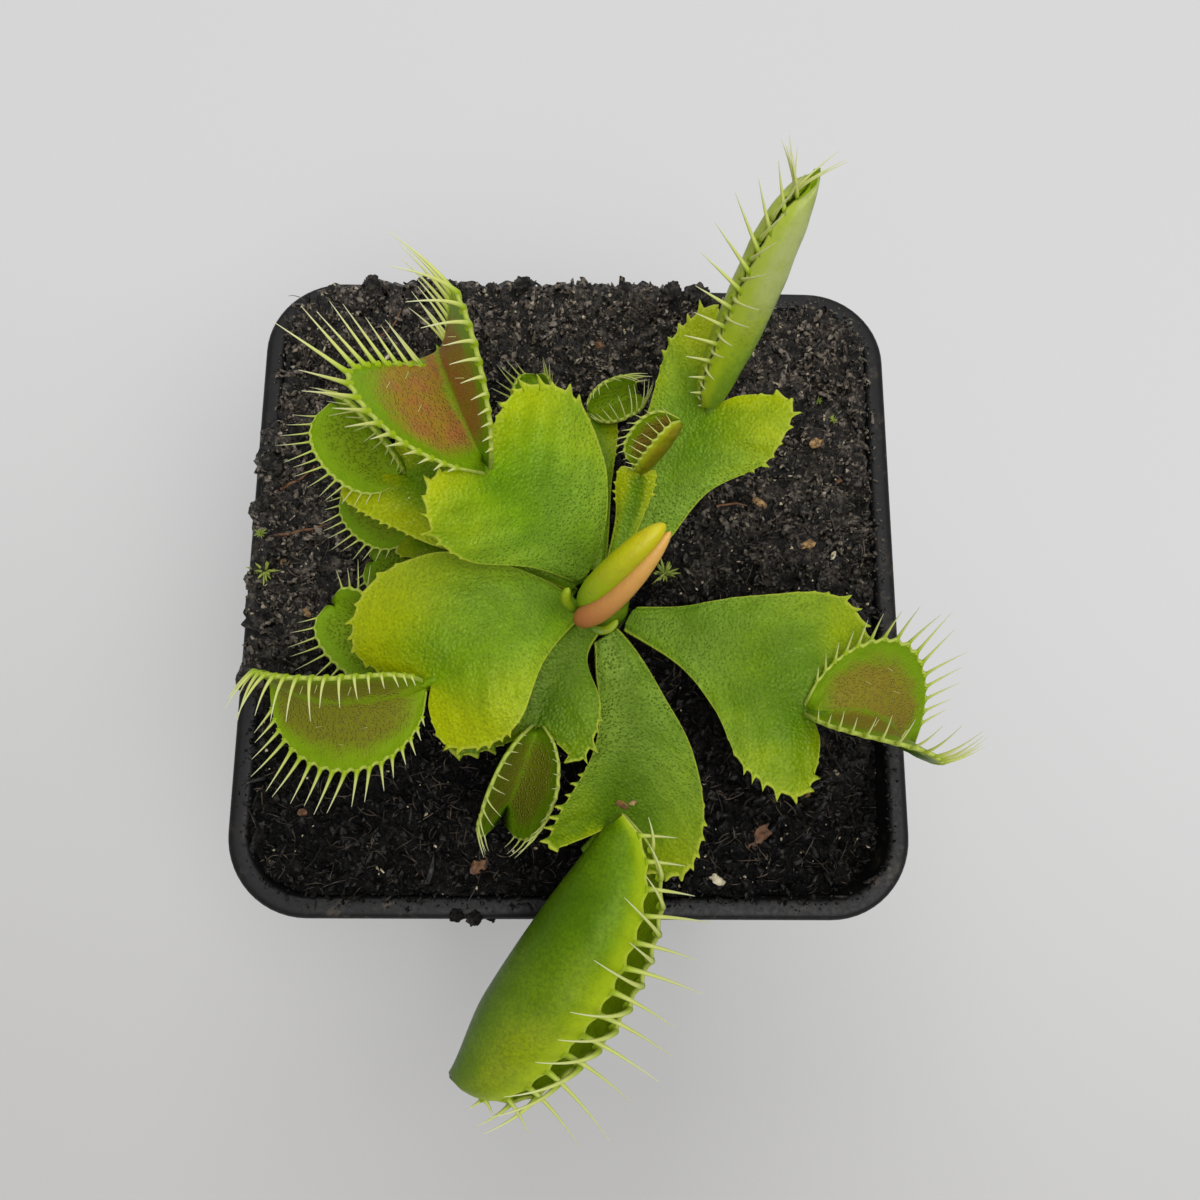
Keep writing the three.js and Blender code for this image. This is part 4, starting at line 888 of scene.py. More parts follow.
def make_blade(name, leaf, midrib, seed):
    """The flat winged stalk: swelled between its veins, grooved along its midrib and thin at its margin."""
    length = midrib.length
    big = max(w for _, w in leaf["right"] + leaf["left"]) > BIG_BLADE
    rows, columns = (260, 15) if big else (150, 10)
    share = np.linspace(0, 1, rows + 1)
    b = 1 - (1 - np.linspace(0, 1, columns + 1)) ** 1.7
    halves = [blade_half(leaf, length, side, share, b, big, seed) for side in (-1, 1)]
    along, out, edge, wave = (both_sides(left, right) for left, right in zip(*halves))
    points, normals = blade_surface(leaf, midrib, along, out)
    swell = 0.55 * lattice_noise(along, out, 6.5, seed, 4, 0.55)
    swell = swell * smoothstep(0.5, 4, np.abs(out)) * smoothstep(2, 8, along)
    veins = np.sin((along - 0.75 * np.abs(out)) * 2.1 + 1.2 * lattice_noise(along, out, 5, seed + 3, 2))
    swell = swell + 0.05 * veins * smoothstep(1, 4, np.abs(out)) * smoothstep(0.98, 0.8, edge)
    groove = -0.16 * np.exp(-((out / 0.45) ** 2))
    groove = groove * smoothstep(0.1, 0.5, along / length) * smoothstep(1.05, 0.7, along / length)
    points = points + normals * (swell + wave + groove)[..., None]
    at = share[:, None]
    thickness = (0.62 + 0.55 * (1 - at) ** 3) * (1 - 0.62 * smoothstep(0.55, 1.0, edge))
    thickness = thickness + 0.35 * np.exp(-((out / 0.6) ** 2)) * (1 - 0.6 * at)
    values = dict(along=np.broadcast_to(at, out.shape), edge=edge, **everywhere(leaf["look"], out.shape))
    return thick_sheet(name, points, normals, thickness, [FINISH["blade"], FINISH["blade"]], values)


# ---- traps --------------------------------------------------------------------------------------

class Trap:
    """The lobes' surfaces: turn runs 0 to pi along the margin, out from the hinge 0 to the margin 1."""

    def __init__(self, leaf):
        self.spec = {**USUAL_TRAP, **leaf["trap"]}
        neck = rim_point(*leaf["neck"])
        along = rim_point(*self.spec["tip"]) - neck
        self.length = np.linalg.norm(along) - STAND
        self.big = self.length > BIG_TRAP
        self.along = unit(along)
        mouth = np.array(self.spec["mouth"], float)
        self.mouth = unit(mouth - self.along * (mouth @ self.along))
        self.across = np.cross(self.along, self.mouth)
        self.start = neck + self.along * STAND
        self.cells = self.spec["cells"]
        turns = np.linspace(END_ANGLE, math.pi - END_ANGLE, 121)
        margin, _, _ = self.surface(1, turns, np.ones_like(turns))
        run = run_length(margin)
        self.turn_at = lambda share: np.interp(share, run / run[-1], turns)

    def surface(self, side, turn, out):
        """Points and normals on the right lobe (side 1) or the left (side -1), and the angle there."""
        turn, out = np.broadcast_arrays(np.asarray(turn, float), np.asarray(out, float))
        hinge, margin = np.radians(self.spec["lobes"][0 if side > 0 else 1])
        share = 0.5 - 0.5 * np.cos(turn)
        depth = self.spec["depth"][0 if side > 0 else 1] * np.sin(turn) ** self.spec["full"]
        bend = margin - hinge
        angle = hinge + bend * out
        rise = depth * (np.sin(angle) - math.sin(hinge)) / bend
        spread = depth * (math.cos(hinge) - np.cos(angle)) / bend
        sag = 4 * self.spec["bow"] * self.length * share * (1 - share)
        hook = self.spec["hook"] * smoothstep(0.7, 1, share)
        near, far = self.spec["flare"]
        flare = -np.where(turn < math.pi / 2, near, far) * self.length * np.cos(turn) * out
        point = (self.start + (share * self.length + flare + 0.4 * hook)[..., None] * self.along
                 + (rise - sag + hook)[..., None] * self.mouth + (side * spread)[..., None] * self.across)
        normal = np.sin(angle)[..., None] * self.mouth - side * np.cos(angle)[..., None] * self.across
        return point, normal, angle

    def roots(self, side):
        """Where the cilia stand on a lobe's margin, as shares of its run."""
        count = self.spec.get("spikes", self.cells * 2)
        return (np.arange(count) + (0.3 if side > 0 else 0.7)) / count


def lobe(trap, side, share, turns, b, seed):
    """One lobe as grids of points and normals: cusps at its margin under the cilia, rounded at the hinge."""
    roots = trap.roots(side)
    gap = np.abs(share[:, None] - roots[None]).min(1) * len(roots)
    cusp = np.clip(1 - gap / 0.5, 0, 1) ** 1.6
    depth = trap.spec["depth"][0 if side > 0 else 1]
    notch = trap.spec.get("notch", 0.6 if trap.big else 0.28) * (1 - cusp) / depth
    reach = b[None, :] * (1 - notch[:, None] * smoothstep(0.82, 1, b)[None, :])
    reach = reach * (1 + (trap.spec["closer"] - 1) * b**3 * np.sin(turns)[:, None] ** 0.5)
    point, normal, _ = trap.surface(side, turns[:, None], reach)
    round_off = smoothstep(0, 0.16, b)[None, :, None]
    normal = unit(trap.mouth * (1 - round_off) + normal * round_off)
    soft = (0.5 * np.exp(-b / 0.07))[None, :, None] * min(1.0, depth / 9)
    point = point + trap.mouth * soft * 0.6
    pucker = 0.12 * lattice_noise(share[:, None] * 18 + seed, reach * 9 * side, 1.6, seed, 3)
    point = point + normal * (pucker * smoothstep(0.1, 0.4, b))[..., None]
    return point, normal, np.broadcast_to(b, reach.shape)


def make_lobes(name, leaf, trap, seed):
    """The two lobes as one sheet, thickest at the hinge."""
    rows, columns = (trap.cells * 18, 20) if trap.big else (trap.cells * 12, 12)
    share = np.linspace(0, 1, rows + 1)
    turns = trap.turn_at(share)
    turns[0], turns[-1] = 0.05, math.pi - 0.03
    b = 1 - (1 - np.linspace(0, 1, columns + 1)) ** 1.5
    halves = [lobe(trap, side, share, turns, b, seed) for side in (-1, 1)]
    points, normals, edge = (both_sides(left, right) for left, right in zip(*halves))
    thickness = 0.62 - 0.2 * smoothstep(0.6, 1, edge) + 0.3 * np.exp(-edge / 0.08)
    thickness = thickness * (1 if trap.big else 0.85)
    look = dict(leaf["look"], gold=trap.spec.get("gold", leaf["look"]["gold"] * 0.6))
    along = np.broadcast_to(share[:, None], edge.shape)
    values = dict(along=along, edge=edge, **everywhere(look, edge.shape))
    return thick_sheet(name, points, normals, thickness, [FINISH["inside"], FINISH["outside"]], values)


def held_inside(root, way, reach):
    """The direction turned so that a spike of that length stays within the solids' box."""
    for axis in (2, 1, 0):
        low, high = CAD_BOX[0][axis] / MM + 0.3, CAD_BOX[1][axis] / MM - 0.3
        part = min(max(way[axis], (low - root[axis]) / reach), (high - root[axis]) / reach)
        if abs(part - way[axis]) > 1e-9:
            rest = way.copy()
            rest[axis] = 0
            way = unit(rest) * math.sqrt(max(0.0, 1 - part * part))
            way[axis] = part
    return way


def make_cilia(name, leaf, trap, seed):
    """The curved spikes along both margins: the left lobe's first, then the right's."""
    rng, spec = np.random.default_rng(seed), trap.spec
    length, lean_right, lean_left, usual_fan = spec["cilia"]
    fans = spec.get("fans", [usual_fan, usual_fan])
    width = spec.get("spike_width", 0.29 if trap.big else 0.14)
    t = np.linspace(0, 1, 12 if trap.big else 8)[:, None]
    lobes = zip((-1, 1), (lean_left, lean_right), fans, spec["sweep"], spec["lifts"])
    paths, radii = [], []
    for side, lean, fan, sweep, lift in lobes:
        heading = lambda angle: math.cos(angle) * trap.mouth + side * math.sin(angle) * trap.across
        for share in [*trap.roots(side), *[1.0] * spec["tuft"]]:
            in_tuft = share == 1
            turn = float(trap.turn_at(share))
            edge = 0.99 * (1 + (spec["closer"] - 1) * math.sin(turn) ** 0.5)
            inner, _, _ = trap.surface(side, turn, edge - 0.09)
            root, _, angle = trap.surface(side, turn, edge)
            reach = length * (0.28 + 0.72 * math.sin(turn)) * rng.uniform(0.82, 1.1)
            reach *= 1 - spec["growth"] * math.cos(turn)
            reach *= (1 - spec["short_end"] * float(smoothstep(0.75, 1, share))) * (1.45 if in_tuft else 1)
            aim = angle - math.radians(lean + rng.normal(0, 24 if in_tuft else 5))
            spread = spec.get("far_fan", fan) if turn > math.pi / 2 else fan
            sideways = sweep - spread * math.cos(turn) + rng.normal(0, 0.08)
            first = heading(angle) * 0.4 + heading(aim) * 0.6 + lift * trap.mouth
            first = unit(first + sideways * 0.9 * trap.along)
            middle = root + 0.4 * reach * held_inside(root, first, 0.4 * reach)
            tip = root + reach * held_inside(root, unit(heading(aim) + sideways * trap.along), reach)
            paths.append(np.concatenate([[0.5 * root + 0.5 * inner], arc(root, middle, tip, t)]))
            shape = np.linspace(0, 1, len(paths[-1]))
            thick = width * (0.8 + 0.2 * math.sin(turn))
            radii.append(thick * (1 - 0.9 * shape**1.15) * (1 + 0.7 * np.exp(-shape / 0.09)))
    shade = leaf["look"]["shade"]
    return strands(name, paths, radii, FINISH["cilia"], 7 if trap.big else 5, dict(shade=shade))


def make_hairs(name, trap):
    """The three fine trigger hairs that stand on each lobe."""
    paths, radii = [], []
    for side in (-1, 1):
        for turn, out in ((1.25, 0.42), (1.85, 0.42), (1.55, 0.62)):
            root, normal, _ = trap.surface(side, turn, out)
            tip = root + 1.1 * normal + 0.25 * trap.along
            t = np.linspace(0, 1, 5)[:, None]
            paths.append(root + (tip - root) * t)
            radii.append(np.linspace(0.07, 0.02, 5))
    return strands(name, paths, radii, FINISH["cilia"], 5, dict(shade=0.3))


def make_neck(name, leaf, midrib, trap):
    """The round stalk between the blade's end and the trap's hinge."""
    neck, tangent = midrib.at(np.array([midrib.length]))
    back = neck[0] - tangent[0] * 1.4 - [0, 0, 0.25]
    front, _, _ = trap.surface(1, 0.55, 0)
    path = arc(back, neck[0], front, np.linspace(0, 1, 9)[:, None])
    width = 0.62 if trap.big else 0.45
    radii = width * np.array([0.2, 0.55, 0.8, 0.9, 0.85, 0.8, 0.85, 0.95, 1.05])
    return strands(name, [path], [radii], FINISH["outside"], 12, dict(leaf["look"], edge=0.3))


def make_leaf(node, leaf, seed):
    """One grown leaf from its values, as one piece in place of its node."""
    leaf = {**USUAL_BLADE, **leaf}
    midrib, trap = Midrib(leaf), Trap(leaf)
    parts = [
        make_blade(node + "_blade", leaf, midrib, seed),
        make_lobes(node + "_lobes", leaf, trap, seed + 1),
        make_cilia(node + "_cilia", leaf, trap, seed + 2),
        make_neck(node + "_neck", leaf, midrib, trap),
    ]
    if trap.big:
        parts.append(make_hairs(node + "_hairs", trap))
    return keep(joined(node + "_grown", parts), node)


leaf_pieces = [make_leaf(node, leaf, 40 + 7 * k) for k, (node, leaf) in enumerate(LEAVES.items())]


# ---- the folded young leaf ----------------------------------------------------------------------

def tube(name, path, radii, finish, flat=None, around=24):
    """A closed tube along a smooth path, flattened along one direction where flat gives (way, share)."""
    tangent = unit(np.gradient(path, axis=0))
    side = unit(np.cross(tangent, [0, 0, 1.0]))
    up = np.cross(side, tangent)
    angle = np.linspace(0, 2 * math.pi, around, endpoint=False)
    ring = np.cos(angle)[None, :, None] * side[:, None] + np.sin(angle)[None, :, None] * up[:, None]
    if flat is not None:
        way, share = unit(np.array(flat[0], float)), flat[1]
        ring = ring - (ring @ way)[..., None] * way * share
    points = path[:, None] + ring * radii[:, None, None]
    faces = loft_faces(len(path), around)
    values = dict(along=np.repeat(np.linspace(0, 1, len(path)), around))
    return mesh_object(name, points.reshape(-1, 3), faces, [finish], None, values)


def bend_through(points, t):
    """Points on the curve through three given ones [x, y, h]."""
    a, middle, c = (rim_point(*p) for p in points)
    return arc(a, bend_for(a, middle, c), c, t[:, None])


def make_young_leaf():
    """Two plump folds side by side, the stalk they stand on and the small wings at their foot."""
    t = 0.5 - 0.5 * np.cos(np.linspace(0.03, math.pi - 0.03, 60))
    girth = YOUNG["radius"] * (1 - np.abs(2 * t - 1) ** 3.4) ** 0.5 * (1.1 - 0.22 * t)
    ends = np.linspace(0, 1, 20)
    round_ends = (1 - np.abs(2 * ends - 1) ** 4 * 0.97) ** 0.5
    line = lambda part, at: bend_through(YOUNG[part], at)
    green, salmon, curl = FINISH["fold_green"], FINISH["fold_salmon"], FINISH["curl"]
    parts = [
        tube("fold_upper", line("upper", t), girth, green, ([0.66, -0.7, -0.2], 0.08)),
        tube("fold_lower", line("lower", t), 0.9 * girth * (1 - 0.32 * t**2), salmon),
        tube("fold_stalk", line("stalk", ends), np.linspace(1.0, 0.8, 20), green),
        tube("fold_curl", line("curl", ends), 0.5 * round_ends, curl, around=14),
        tube("fold_wing", line("wing", ends), 0.42 * round_ends, curl, ([0, 0, 1.0], 0.5), 14),
    ]
    keep(joined("young_leaf", parts), "leaf_young_rolled")


make_young_leaf()


# ---- pot ----------------------------------------------------------------------------------------

def rounded_square(width, corner, z, corner_steps, side_steps=1):
    """A ring of points about a square with rounded corners."""
    points, offset = [], width / 2 - corner
    for c in range(4):
        cos, sin = math.cos(c * math.pi / 2), math.sin(c * math.pi / 2)
        local = []
        for k in range(corner_steps + 1):
            angle = k / corner_steps * math.pi / 2
            local.append((offset + corner * math.cos(angle), offset + corner * math.sin(angle)))
        for k in range(1, side_steps):
            local.append((offset * (1 - 2 * k / side_steps), width / 2))
        points += [(x * cos - y * sin, x * sin + y * cos, z) for x, y in local]
    return np.array(points)


def pot_section(z, inset):
    """The width and the corner radius of the tapering wall at a height, drawn in by the inset."""
    t = z / POT["height"]
    wall_top = POT["top_width"] - 2 * (POT["rim_width"] - POT["wall"])
    step = 0 if z > POT["height"] - POT["collar_drop"] else POT["collar_step"]
    width = POT["base_width"] + (wall_top - POT["base_width"]) * t - 2 * (step + inset)
    return width, POT["base_corner"] + (POT["top_corner"] - 1 - POT["base_corner"]) * t - inset


POT_CORNER_STEPS = 14
SHARP = math.radians(40)  # an edge bent further than this stays sharp


def pot_rings():
    """Rings from the foot up the outside, over the rolled rim and down the inside to the floor."""
    top, wall, floor, drop = POT["height"], POT["wall"], POT["floor"], POT["rim_drop"]
    collar = top - POT["collar_drop"]
    body = lambda z, inset: rounded_square(*pot_section(z, inset), z, POT_CORNER_STEPS)
    rolled = lambda z, inset: rounded_square(
        POT["top_width"] - 2 * inset, POT["top_corner"] - inset, z, POT_CORNER_STEPS)
    outside = [(0, 0.9), (0.12, 0.5), (0.4, 0.15), (0.8, 0), (collar - 0.9, 0), (collar - 0.6, 0.02),
               (collar + 0.6, 0.02), (collar + 0.9, 0), (top - drop - 0.4, 0), (top - drop, -0.15)]
    rim = [(top - drop - 0.05, 0.45), (top - drop + 0.1, 0.15), (top - drop + 0.4, 0), (top - 0.75, 0),
           (top - 0.4, 0.08), (top - 0.16, 0.28), (top - 0.03, 0.55), (top, 0.85)]
    inside = [(top, wall - 0.5), (top - 0.06, wall - 0.2), (top - 0.25, wall - 0.04), (top - 0.6, wall),
              (collar + 0.9, wall), (collar - 0.9, wall), (floor + 0.6, wall), (floor, wall + 0.5)]
    return [body(*at) for at in outside] + [rolled(*at) for at in rim] + [body(*at) for at in inside]


def drain_cutters():
    """Upright cylinders through the floor: one near each corner and one half way along each side."""
    corner, side = (POT["base_width"] / 2 - DRAIN[inset] for inset in ("corner_inset", "side_inset"))
    spots = [(sx * corner, sy * corner, DRAIN["corner_radius"]) for sx in (1, -1) for sy in (1, -1)]
    spots += [(x, y, DRAIN["side_radius"]) for x, y in ((side, 0), (-side, 0), (0, side), (0, -side))]
    work = bmesh.new()
    for x, y, r in spots:
        bmesh.ops.create_cone(work, cap_ends=True, segments=32, radius1=r * MM, radius2=r * MM, depth=6 * MM,
                              matrix=Matrix.Translation((x * MM, y * MM, 0)))
    mesh = bpy.data.meshes.new("drain_cutters")
    work.to_mesh(mesh)
    work.free()
    return placed("drain_cutters", mesh)


def make_pot():
    """The thin plastic pot with its drain holes, smooth but for its sharp edges."""
    rings = pot_rings()
    faces = loft_faces(len(rings), len(rings[0]))
    pot = mesh_object("pot_plastic", np.concatenate(rings), faces, [FINISH["pot"]])
    cutter = drain_cutters()
    cut = pot.modifiers.new("drain_holes", "BOOLEAN")
    cut.object, cut.operation, cut.solver = cutter, "DIFFERENCE", "EXACT"
    holed = bpy.data.meshes.new_from_object(pot.evaluated_get(bpy.context.evaluated_depsgraph_get()))
    pot.modifiers.clear()
    pot.data = holed
    bpy.data.objects.remove(cutter)
    holed.polygons.foreach_set("use_smooth", [True] * len(holed.polygons))
    work = bmesh.new()
    work.from_mesh(holed)
    for edge in work.edges:
        if len(edge.link_faces) == 2 and edge.calc_face_angle(0) > SHARP:
            edge.smooth = False
    work.to_mesh(holed)
    work.free()
    keep(pot, "pot")


make_pot()


# ---- peat ---------------------------------------------------------------------------------------

def soil_height(x, y):
    """The peat's height above the rim: heaped along the back and the left, sunk at the front right."""
    back = SOIL["back"] * smoothstep(17, 31, y) * (1 - 0.75 * smoothstep(6, 18, x))
    back = back * (1 - 0.6 * smoothstep(23, 31, -x))
    left = SOIL["left"] * smoothstep(25, 32, -x) * smoothstep(-19, -8, y) * (1 - smoothstep(14, 24, y))
    sink = SOIL["corner"] * smoothstep(14, 32, x) * smoothstep(8, -26, y)
    lumps = np.sin(x * 0.9 + 2) * np.sin(y * 0.8) + 0.6 * np.sin(x * 2.1 + y * 1.7 + 1) * np.cos(y * 2.3 - x)
    return np.maximum(back, left) - sink - 0.5 + SOIL["noise"] * lumps


def soil_spill(x, y):
    """How far the heaped peat spills out over the rim."""
    return SOIL["spill"] * smoothstep(0.6, 2.2, soil_height(x, y)) * (0.85 + 0.15 * np.sin(1.3 * x + 1.1 * y))


def leaf_shelter():
    """All leaves as one tree of faces, for finding where a line meets them."""
    points, faces = [], []
    for piece in leaf_pieces:
        start = len(points)
        points += [v.co for v in piece.data.vertices]
        faces += [[start + i for i in p.vertices] for p in piece.data.polygons]
    return BVHTree.FromPolygons(points, faces)


SHELTER = leaf_shelter()
UP = Vector((0, 0, 1))


def keep_below_leaves(x, y, z):
    """Lowers the peat's heights z where leaves lie on it, and gives the room left above each point."""
    room = np.ones(z.shape)
    for i, j in np.argwhere((np.abs(x) < 35) & (np.abs(y) < 35)):
        start = Vector((x[i, j] * MM, y[i, j] * MM, (POT["height"] - 3) * MM))
        hit = SHELTER.ray_cast(start, UP, 0.012)[0]
        if hit is not None:
            limit = hit.z / MM - POT["height"]
            z[i, j] = min(z[i, j], limit - 0.35)
            room[i, j] = min(1.0, max(0.0, (limit - z[i, j] - 0.3) / 1.4))
    return room


PEAT_CELLS = 290  # the bed's grid is this many cells wide
BED_EDGE = 0.965  # where the bed starts to turn down to the wall, as a share of the way out
PEAT_LEVELS = (58.5, 53.8, 52.2, 30, POT["floor"] + GAP)  # heights of the rings down the bed's side


def peat_plan():
    """The bed from above: x and y of a square grid drawn in at the corners to fit the pot, how near the
    border each point lies, and the bed's width."""
    width, corner = pot_section(POT["height"] - 0.6, POT["wall"] + 0.12)
    u = np.linspace(-1, 1, PEAT_CELLS + 1)
    x, y = np.meshgrid(u * width / 2, u * width / 2, indexing="ij")
    offset = width / 2 - corner
    dx, dy = np.maximum(np.abs(x) - offset, 0), np.maximum(np.abs(y) - offset, 0)
    far, long = np.maximum(dx, dy), np.maximum(np.hypot(dx, dy), 1e-9)
    scale = np.where((dx > 0) & (dy > 0), far / long, 1)
    x = np.where(dx > 0, np.sign(x) * (offset + dx * scale), x)
    y = np.where(dy > 0, np.sign(y) * (offset + dy * scale), y)
    return x, y, np.maximum(np.abs(u)[:, None], np.abs(u)[None, :]), width


def peat_surface(x, y, border):
    """The bed's rough upper side: x and y spilled over the rim where it is heaped, its height, how far it
    was spilled, where it lies on the rim, and its finer ups and downs."""
    top, spill = soil_height(x, y), soil_spill(x, y)
    ragged = np.clip(0.72 + 0.4 * lattice_noise(x, y, 1.7, 31, 3, 0.6), 0.4, 0.84)
    grow = 1 + spill * ragged * smoothstep(0.9, 1, border) / np.hypot(x, y).clip(1)
    x, y = x * grow, y * grow
    clods = np.abs(lattice_noise(x, y, 3.4, 3, 4, 0.55))
    ridge = 1 - np.abs(lattice_noise(x, y, 1.3, 5, 4, 0.6)) * 2.2
    grit = lattice_noise(x, y, 0.6, 12, 2)
    fine = 1.5 * (clods - 0.22) + 0.45 * ridge * lattice_noise(x, y, 0.9, 8, 3, 0.7) + 0.22 * grit
    z = top + fine - 0.1
    on_rim = spill > 0.05
    edge_height = np.where(on_rim, 0.3 + 0.25 * np.maximum(top, 0), np.minimum(top, 0.5) - 0.1 + 0.4 * grit)
    z = z + (edge_height - z) * smoothstep(BED_EDGE, 1, border) * 0.8
    z = np.where((border > BED_EDGE) & on_rim, np.maximum(z, 0.22), z)
    return x, y, z, grow, on_rim, fine


def peat_shell(x, y, z, grow, on_rim, width):
    """Points and faces of the whole bed: its upper side, and rings down inside the wall to the floor."""
    cells = PEAT_CELLS
    steps, full = np.arange(cells), np.full(cells, cells)
    loop = (np.concatenate([steps, full, cells - steps, 0 * steps]),
            np.concatenate([0 * steps, steps, full, cells - steps]))
    outer_x, outer_y, edge_z = x[loop], y[loop], z[loop]
    inner_x, inner_y = outer_x / grow[loop], outer_y / grow[loop]
    under = np.where(on_rim[loop], 0.08, edge_z - 0.3)
    rings = [(outer_x * 0.998, outer_y * 0.998, np.minimum(under, edge_z - 0.04)),
             (inner_x, inner_y, np.minimum(under, edge_z - 0.06))]
    for level in PEAT_LEVELS:
        share = pot_section(level, POT["wall"] + GAP + 0.05)[0] / width
        rings.append((inner_x * share, inner_y * share, np.full(len(inner_x), level - POT["height"])))
    grid = np.arange((cells + 1) ** 2).reshape(cells + 1, cells + 1)
    points = [np.stack([x, y, z + POT["height"]], -1).reshape(-1, 3)]
    faces = [np.stack([grid[:-1, :-1], grid[1:, :-1], grid[1:, 1:], grid[:-1, 1:]], -1).reshape(-1, 4)]
    above, count = grid[loop], grid.size
    for ring_x, ring_y, ring_h in rings:
        points.append(np.stack([ring_x, ring_y, ring_h + POT["height"]], 1))
        below = count + np.arange(len(ring_x))
        faces.append(np.stack([above, np.roll(above, -1), np.roll(below, -1), below], -1))
        above, count = below, count + len(ring_x)
    return np.concatenate(points), np.concatenate(faces).tolist() + [above.tolist()]


def make_peat():
    """The bed of peat, and x, y, height and the room below the leaves for each point of its upper side."""
    x, y, border, width = peat_plan()
    x, y, z, grow, on_rim, fine = peat_surface(x, y, border)
    room = keep_below_leaves(x, y, z)
    points, faces = peat_shell(x, y, z, grow, on_rim, width)
    dry = 0.85 * smoothstep(-8, 20, y) + 0.7 * smoothstep(-18, -31, x) * smoothstep(-20, -6, y)
    dry = dry + 0.5 * smoothstep(18, 32, x) * smoothstep(-32, -12, y) + 0.35 * lattice_noise(x, y, 6, 21, 3)
    # how far down in a hollow each point lies, darkened there as painted shade
    hollow_shade = smoothstep(0.35, -0.25, fine)
    beyond = (border > 0.995) | (x < -34.5) | (y > 34.9)
    values = {}
    for key, numbers in (("dry", dry), ("hollow_shade", hollow_shade), ("room", np.where(beyond, 0, room))):
        values[key] = np.zeros(len(points))
        values[key][: numbers.size] = np.clip(numbers, 0, 1).ravel()
    return mesh_object("peat_bed", points, faces, [FINISH["peat"]], None, values), (x, y, z, room)


def make_lump(name, seed, stretch):
    """One irregular crumb, about a millimetre across."""
    work = bmesh.new()
    bmesh.ops.create_icosphere(work, subdivisions=1, radius=0.5 * MM)
    rng = random.Random(seed)
    for v in work.verts:
        v.co *= rng.uniform(0.6, 1.25)
        v.co.x *= stretch
        v.co.z *= 0.75
    mesh = bpy.data.meshes.new(name)
    work.to_mesh(mesh)
    work.free()
    return bpy.data.objects.new(name, mesh)


peat, peat_top = make_peat()
lumps = bpy.data.collections.new("crumb_shapes")
for k, stretch in enumerate((1.0, 1.3, 1.8, 2.6, 1.1, 1.5, 3.2)):
    lumps.objects.link(make_lump(f"crumb_{k}", 70 + k, stretch))


def upper_copy(name):
    """Only the peat's upper surface, for strewing things on."""
    mesh = peat.data.copy()
    work = bmesh.new()
    work.from_mesh(mesh)
    lower = [f for f in work.faces if f.normal.z < 0.25 or f.calc_center_median().z < 0.056]
    bmesh.ops.delete(work, geom=lower, context="FACES")
    work.to_mesh(mesh)
    work.free()
    return placed(name, mesh)


DIRT_PATCHES = [  # x, y, radius
    (34, 6, 7), (34, -19, 7), (-6, -34, 12), (-22, -34, 9), (22, -34, 6), (28, 30, 8)]


def rim_strip():
    """The pot's rim as three narrow strips, with less and rarer room for dirt further out."""
    z = POT["height"] + 0.04
    rings = [rounded_square(POT["top_width"] - 2 * inset, POT["top_corner"] - inset, z, 12, 40)
             for inset in (0.7, 1.3, 1.9, 2.45)]
    count = len(rings[0])
    beside = lambda k: (k + 1) % count
    faces = [[r * count + k, r * count + beside(k), (r + 1) * count + beside(k), (r + 1) * count + k]
             for r in range(3) for k in range(count)]
    points = np.concatenate(rings)
    x, y = points[:, 0], points[:, 1]
    dirty = smoothstep(-0.05, 0.45, lattice_noise(x, y, 8, 77, 2))
    for patch_x, patch_y, radius in DIRT_PATCHES:
        dirty = np.maximum(dirty, smoothstep(radius, radius * 0.3, np.hypot(x - patch_x, y - patch_y)))
    inward = np.repeat([0.15, 0.55, 1.0, 1.0], count)
    room = np.clip(dirty * inward + smoothstep(0.75, 1, inward) * 0.8, 0, 1)
    return mesh_object("rim_dirt", points, faces, [FINISH["crumbs"]], None, dict(room=room))


def strew(name, surface, density, smallest, largest, seed, finish):
    return run_tree(surface, STREWN, name, lumps=lumps, per_square_metre=density,
                    smallest=smallest, largest=largest, seed=seed, finish=FINISH[finish])


crumbs = strew("peat_crumbs", upper_copy("peat_crumbs"), 1.35e6, 0.25, 1.35, 4, "crumbs")
fine_crumbs = strew("peat_fine_crumbs", upper_copy("peat_fine_crumbs"), 1.46e6, 0.18, 0.6, 14, "crumbs")
# pale grains on the peat: partly grit, partly painted glints of the wet peat
glint_grains = strew("peat_grains", upper_copy("peat_grains"), 7e4, 0.15, 0.6, 9, "glint")
rim_dirt = strew("rim_dirt", rim_strip(), 3.2e6, 0.16, 0.85, 6, "crumbs")
for lump in list(lumps.objects):
    bpy.data.objects.remove(lump)
bpy.data.collections.remove(lumps)

PEAT_X, PEAT_Y, PEAT_Z, PEAT_ROOM = (part.ravel() for part in peat_top)
peat_places = KDTree(len(PEAT_X))
for k, (px, py) in enumerate(zip(PEAT_X, PEAT_Y)):
    peat_places.insert((px, py, 0), k)
peat_places.balance()


def peat_at(x, y):
    """The peat's height above the rim near a place, and the room below the leaves there."""
    k = peat_places.find((x, y, 0))[1]
    return float(PEAT_Z[k]), float(PEAT_ROOM[k])


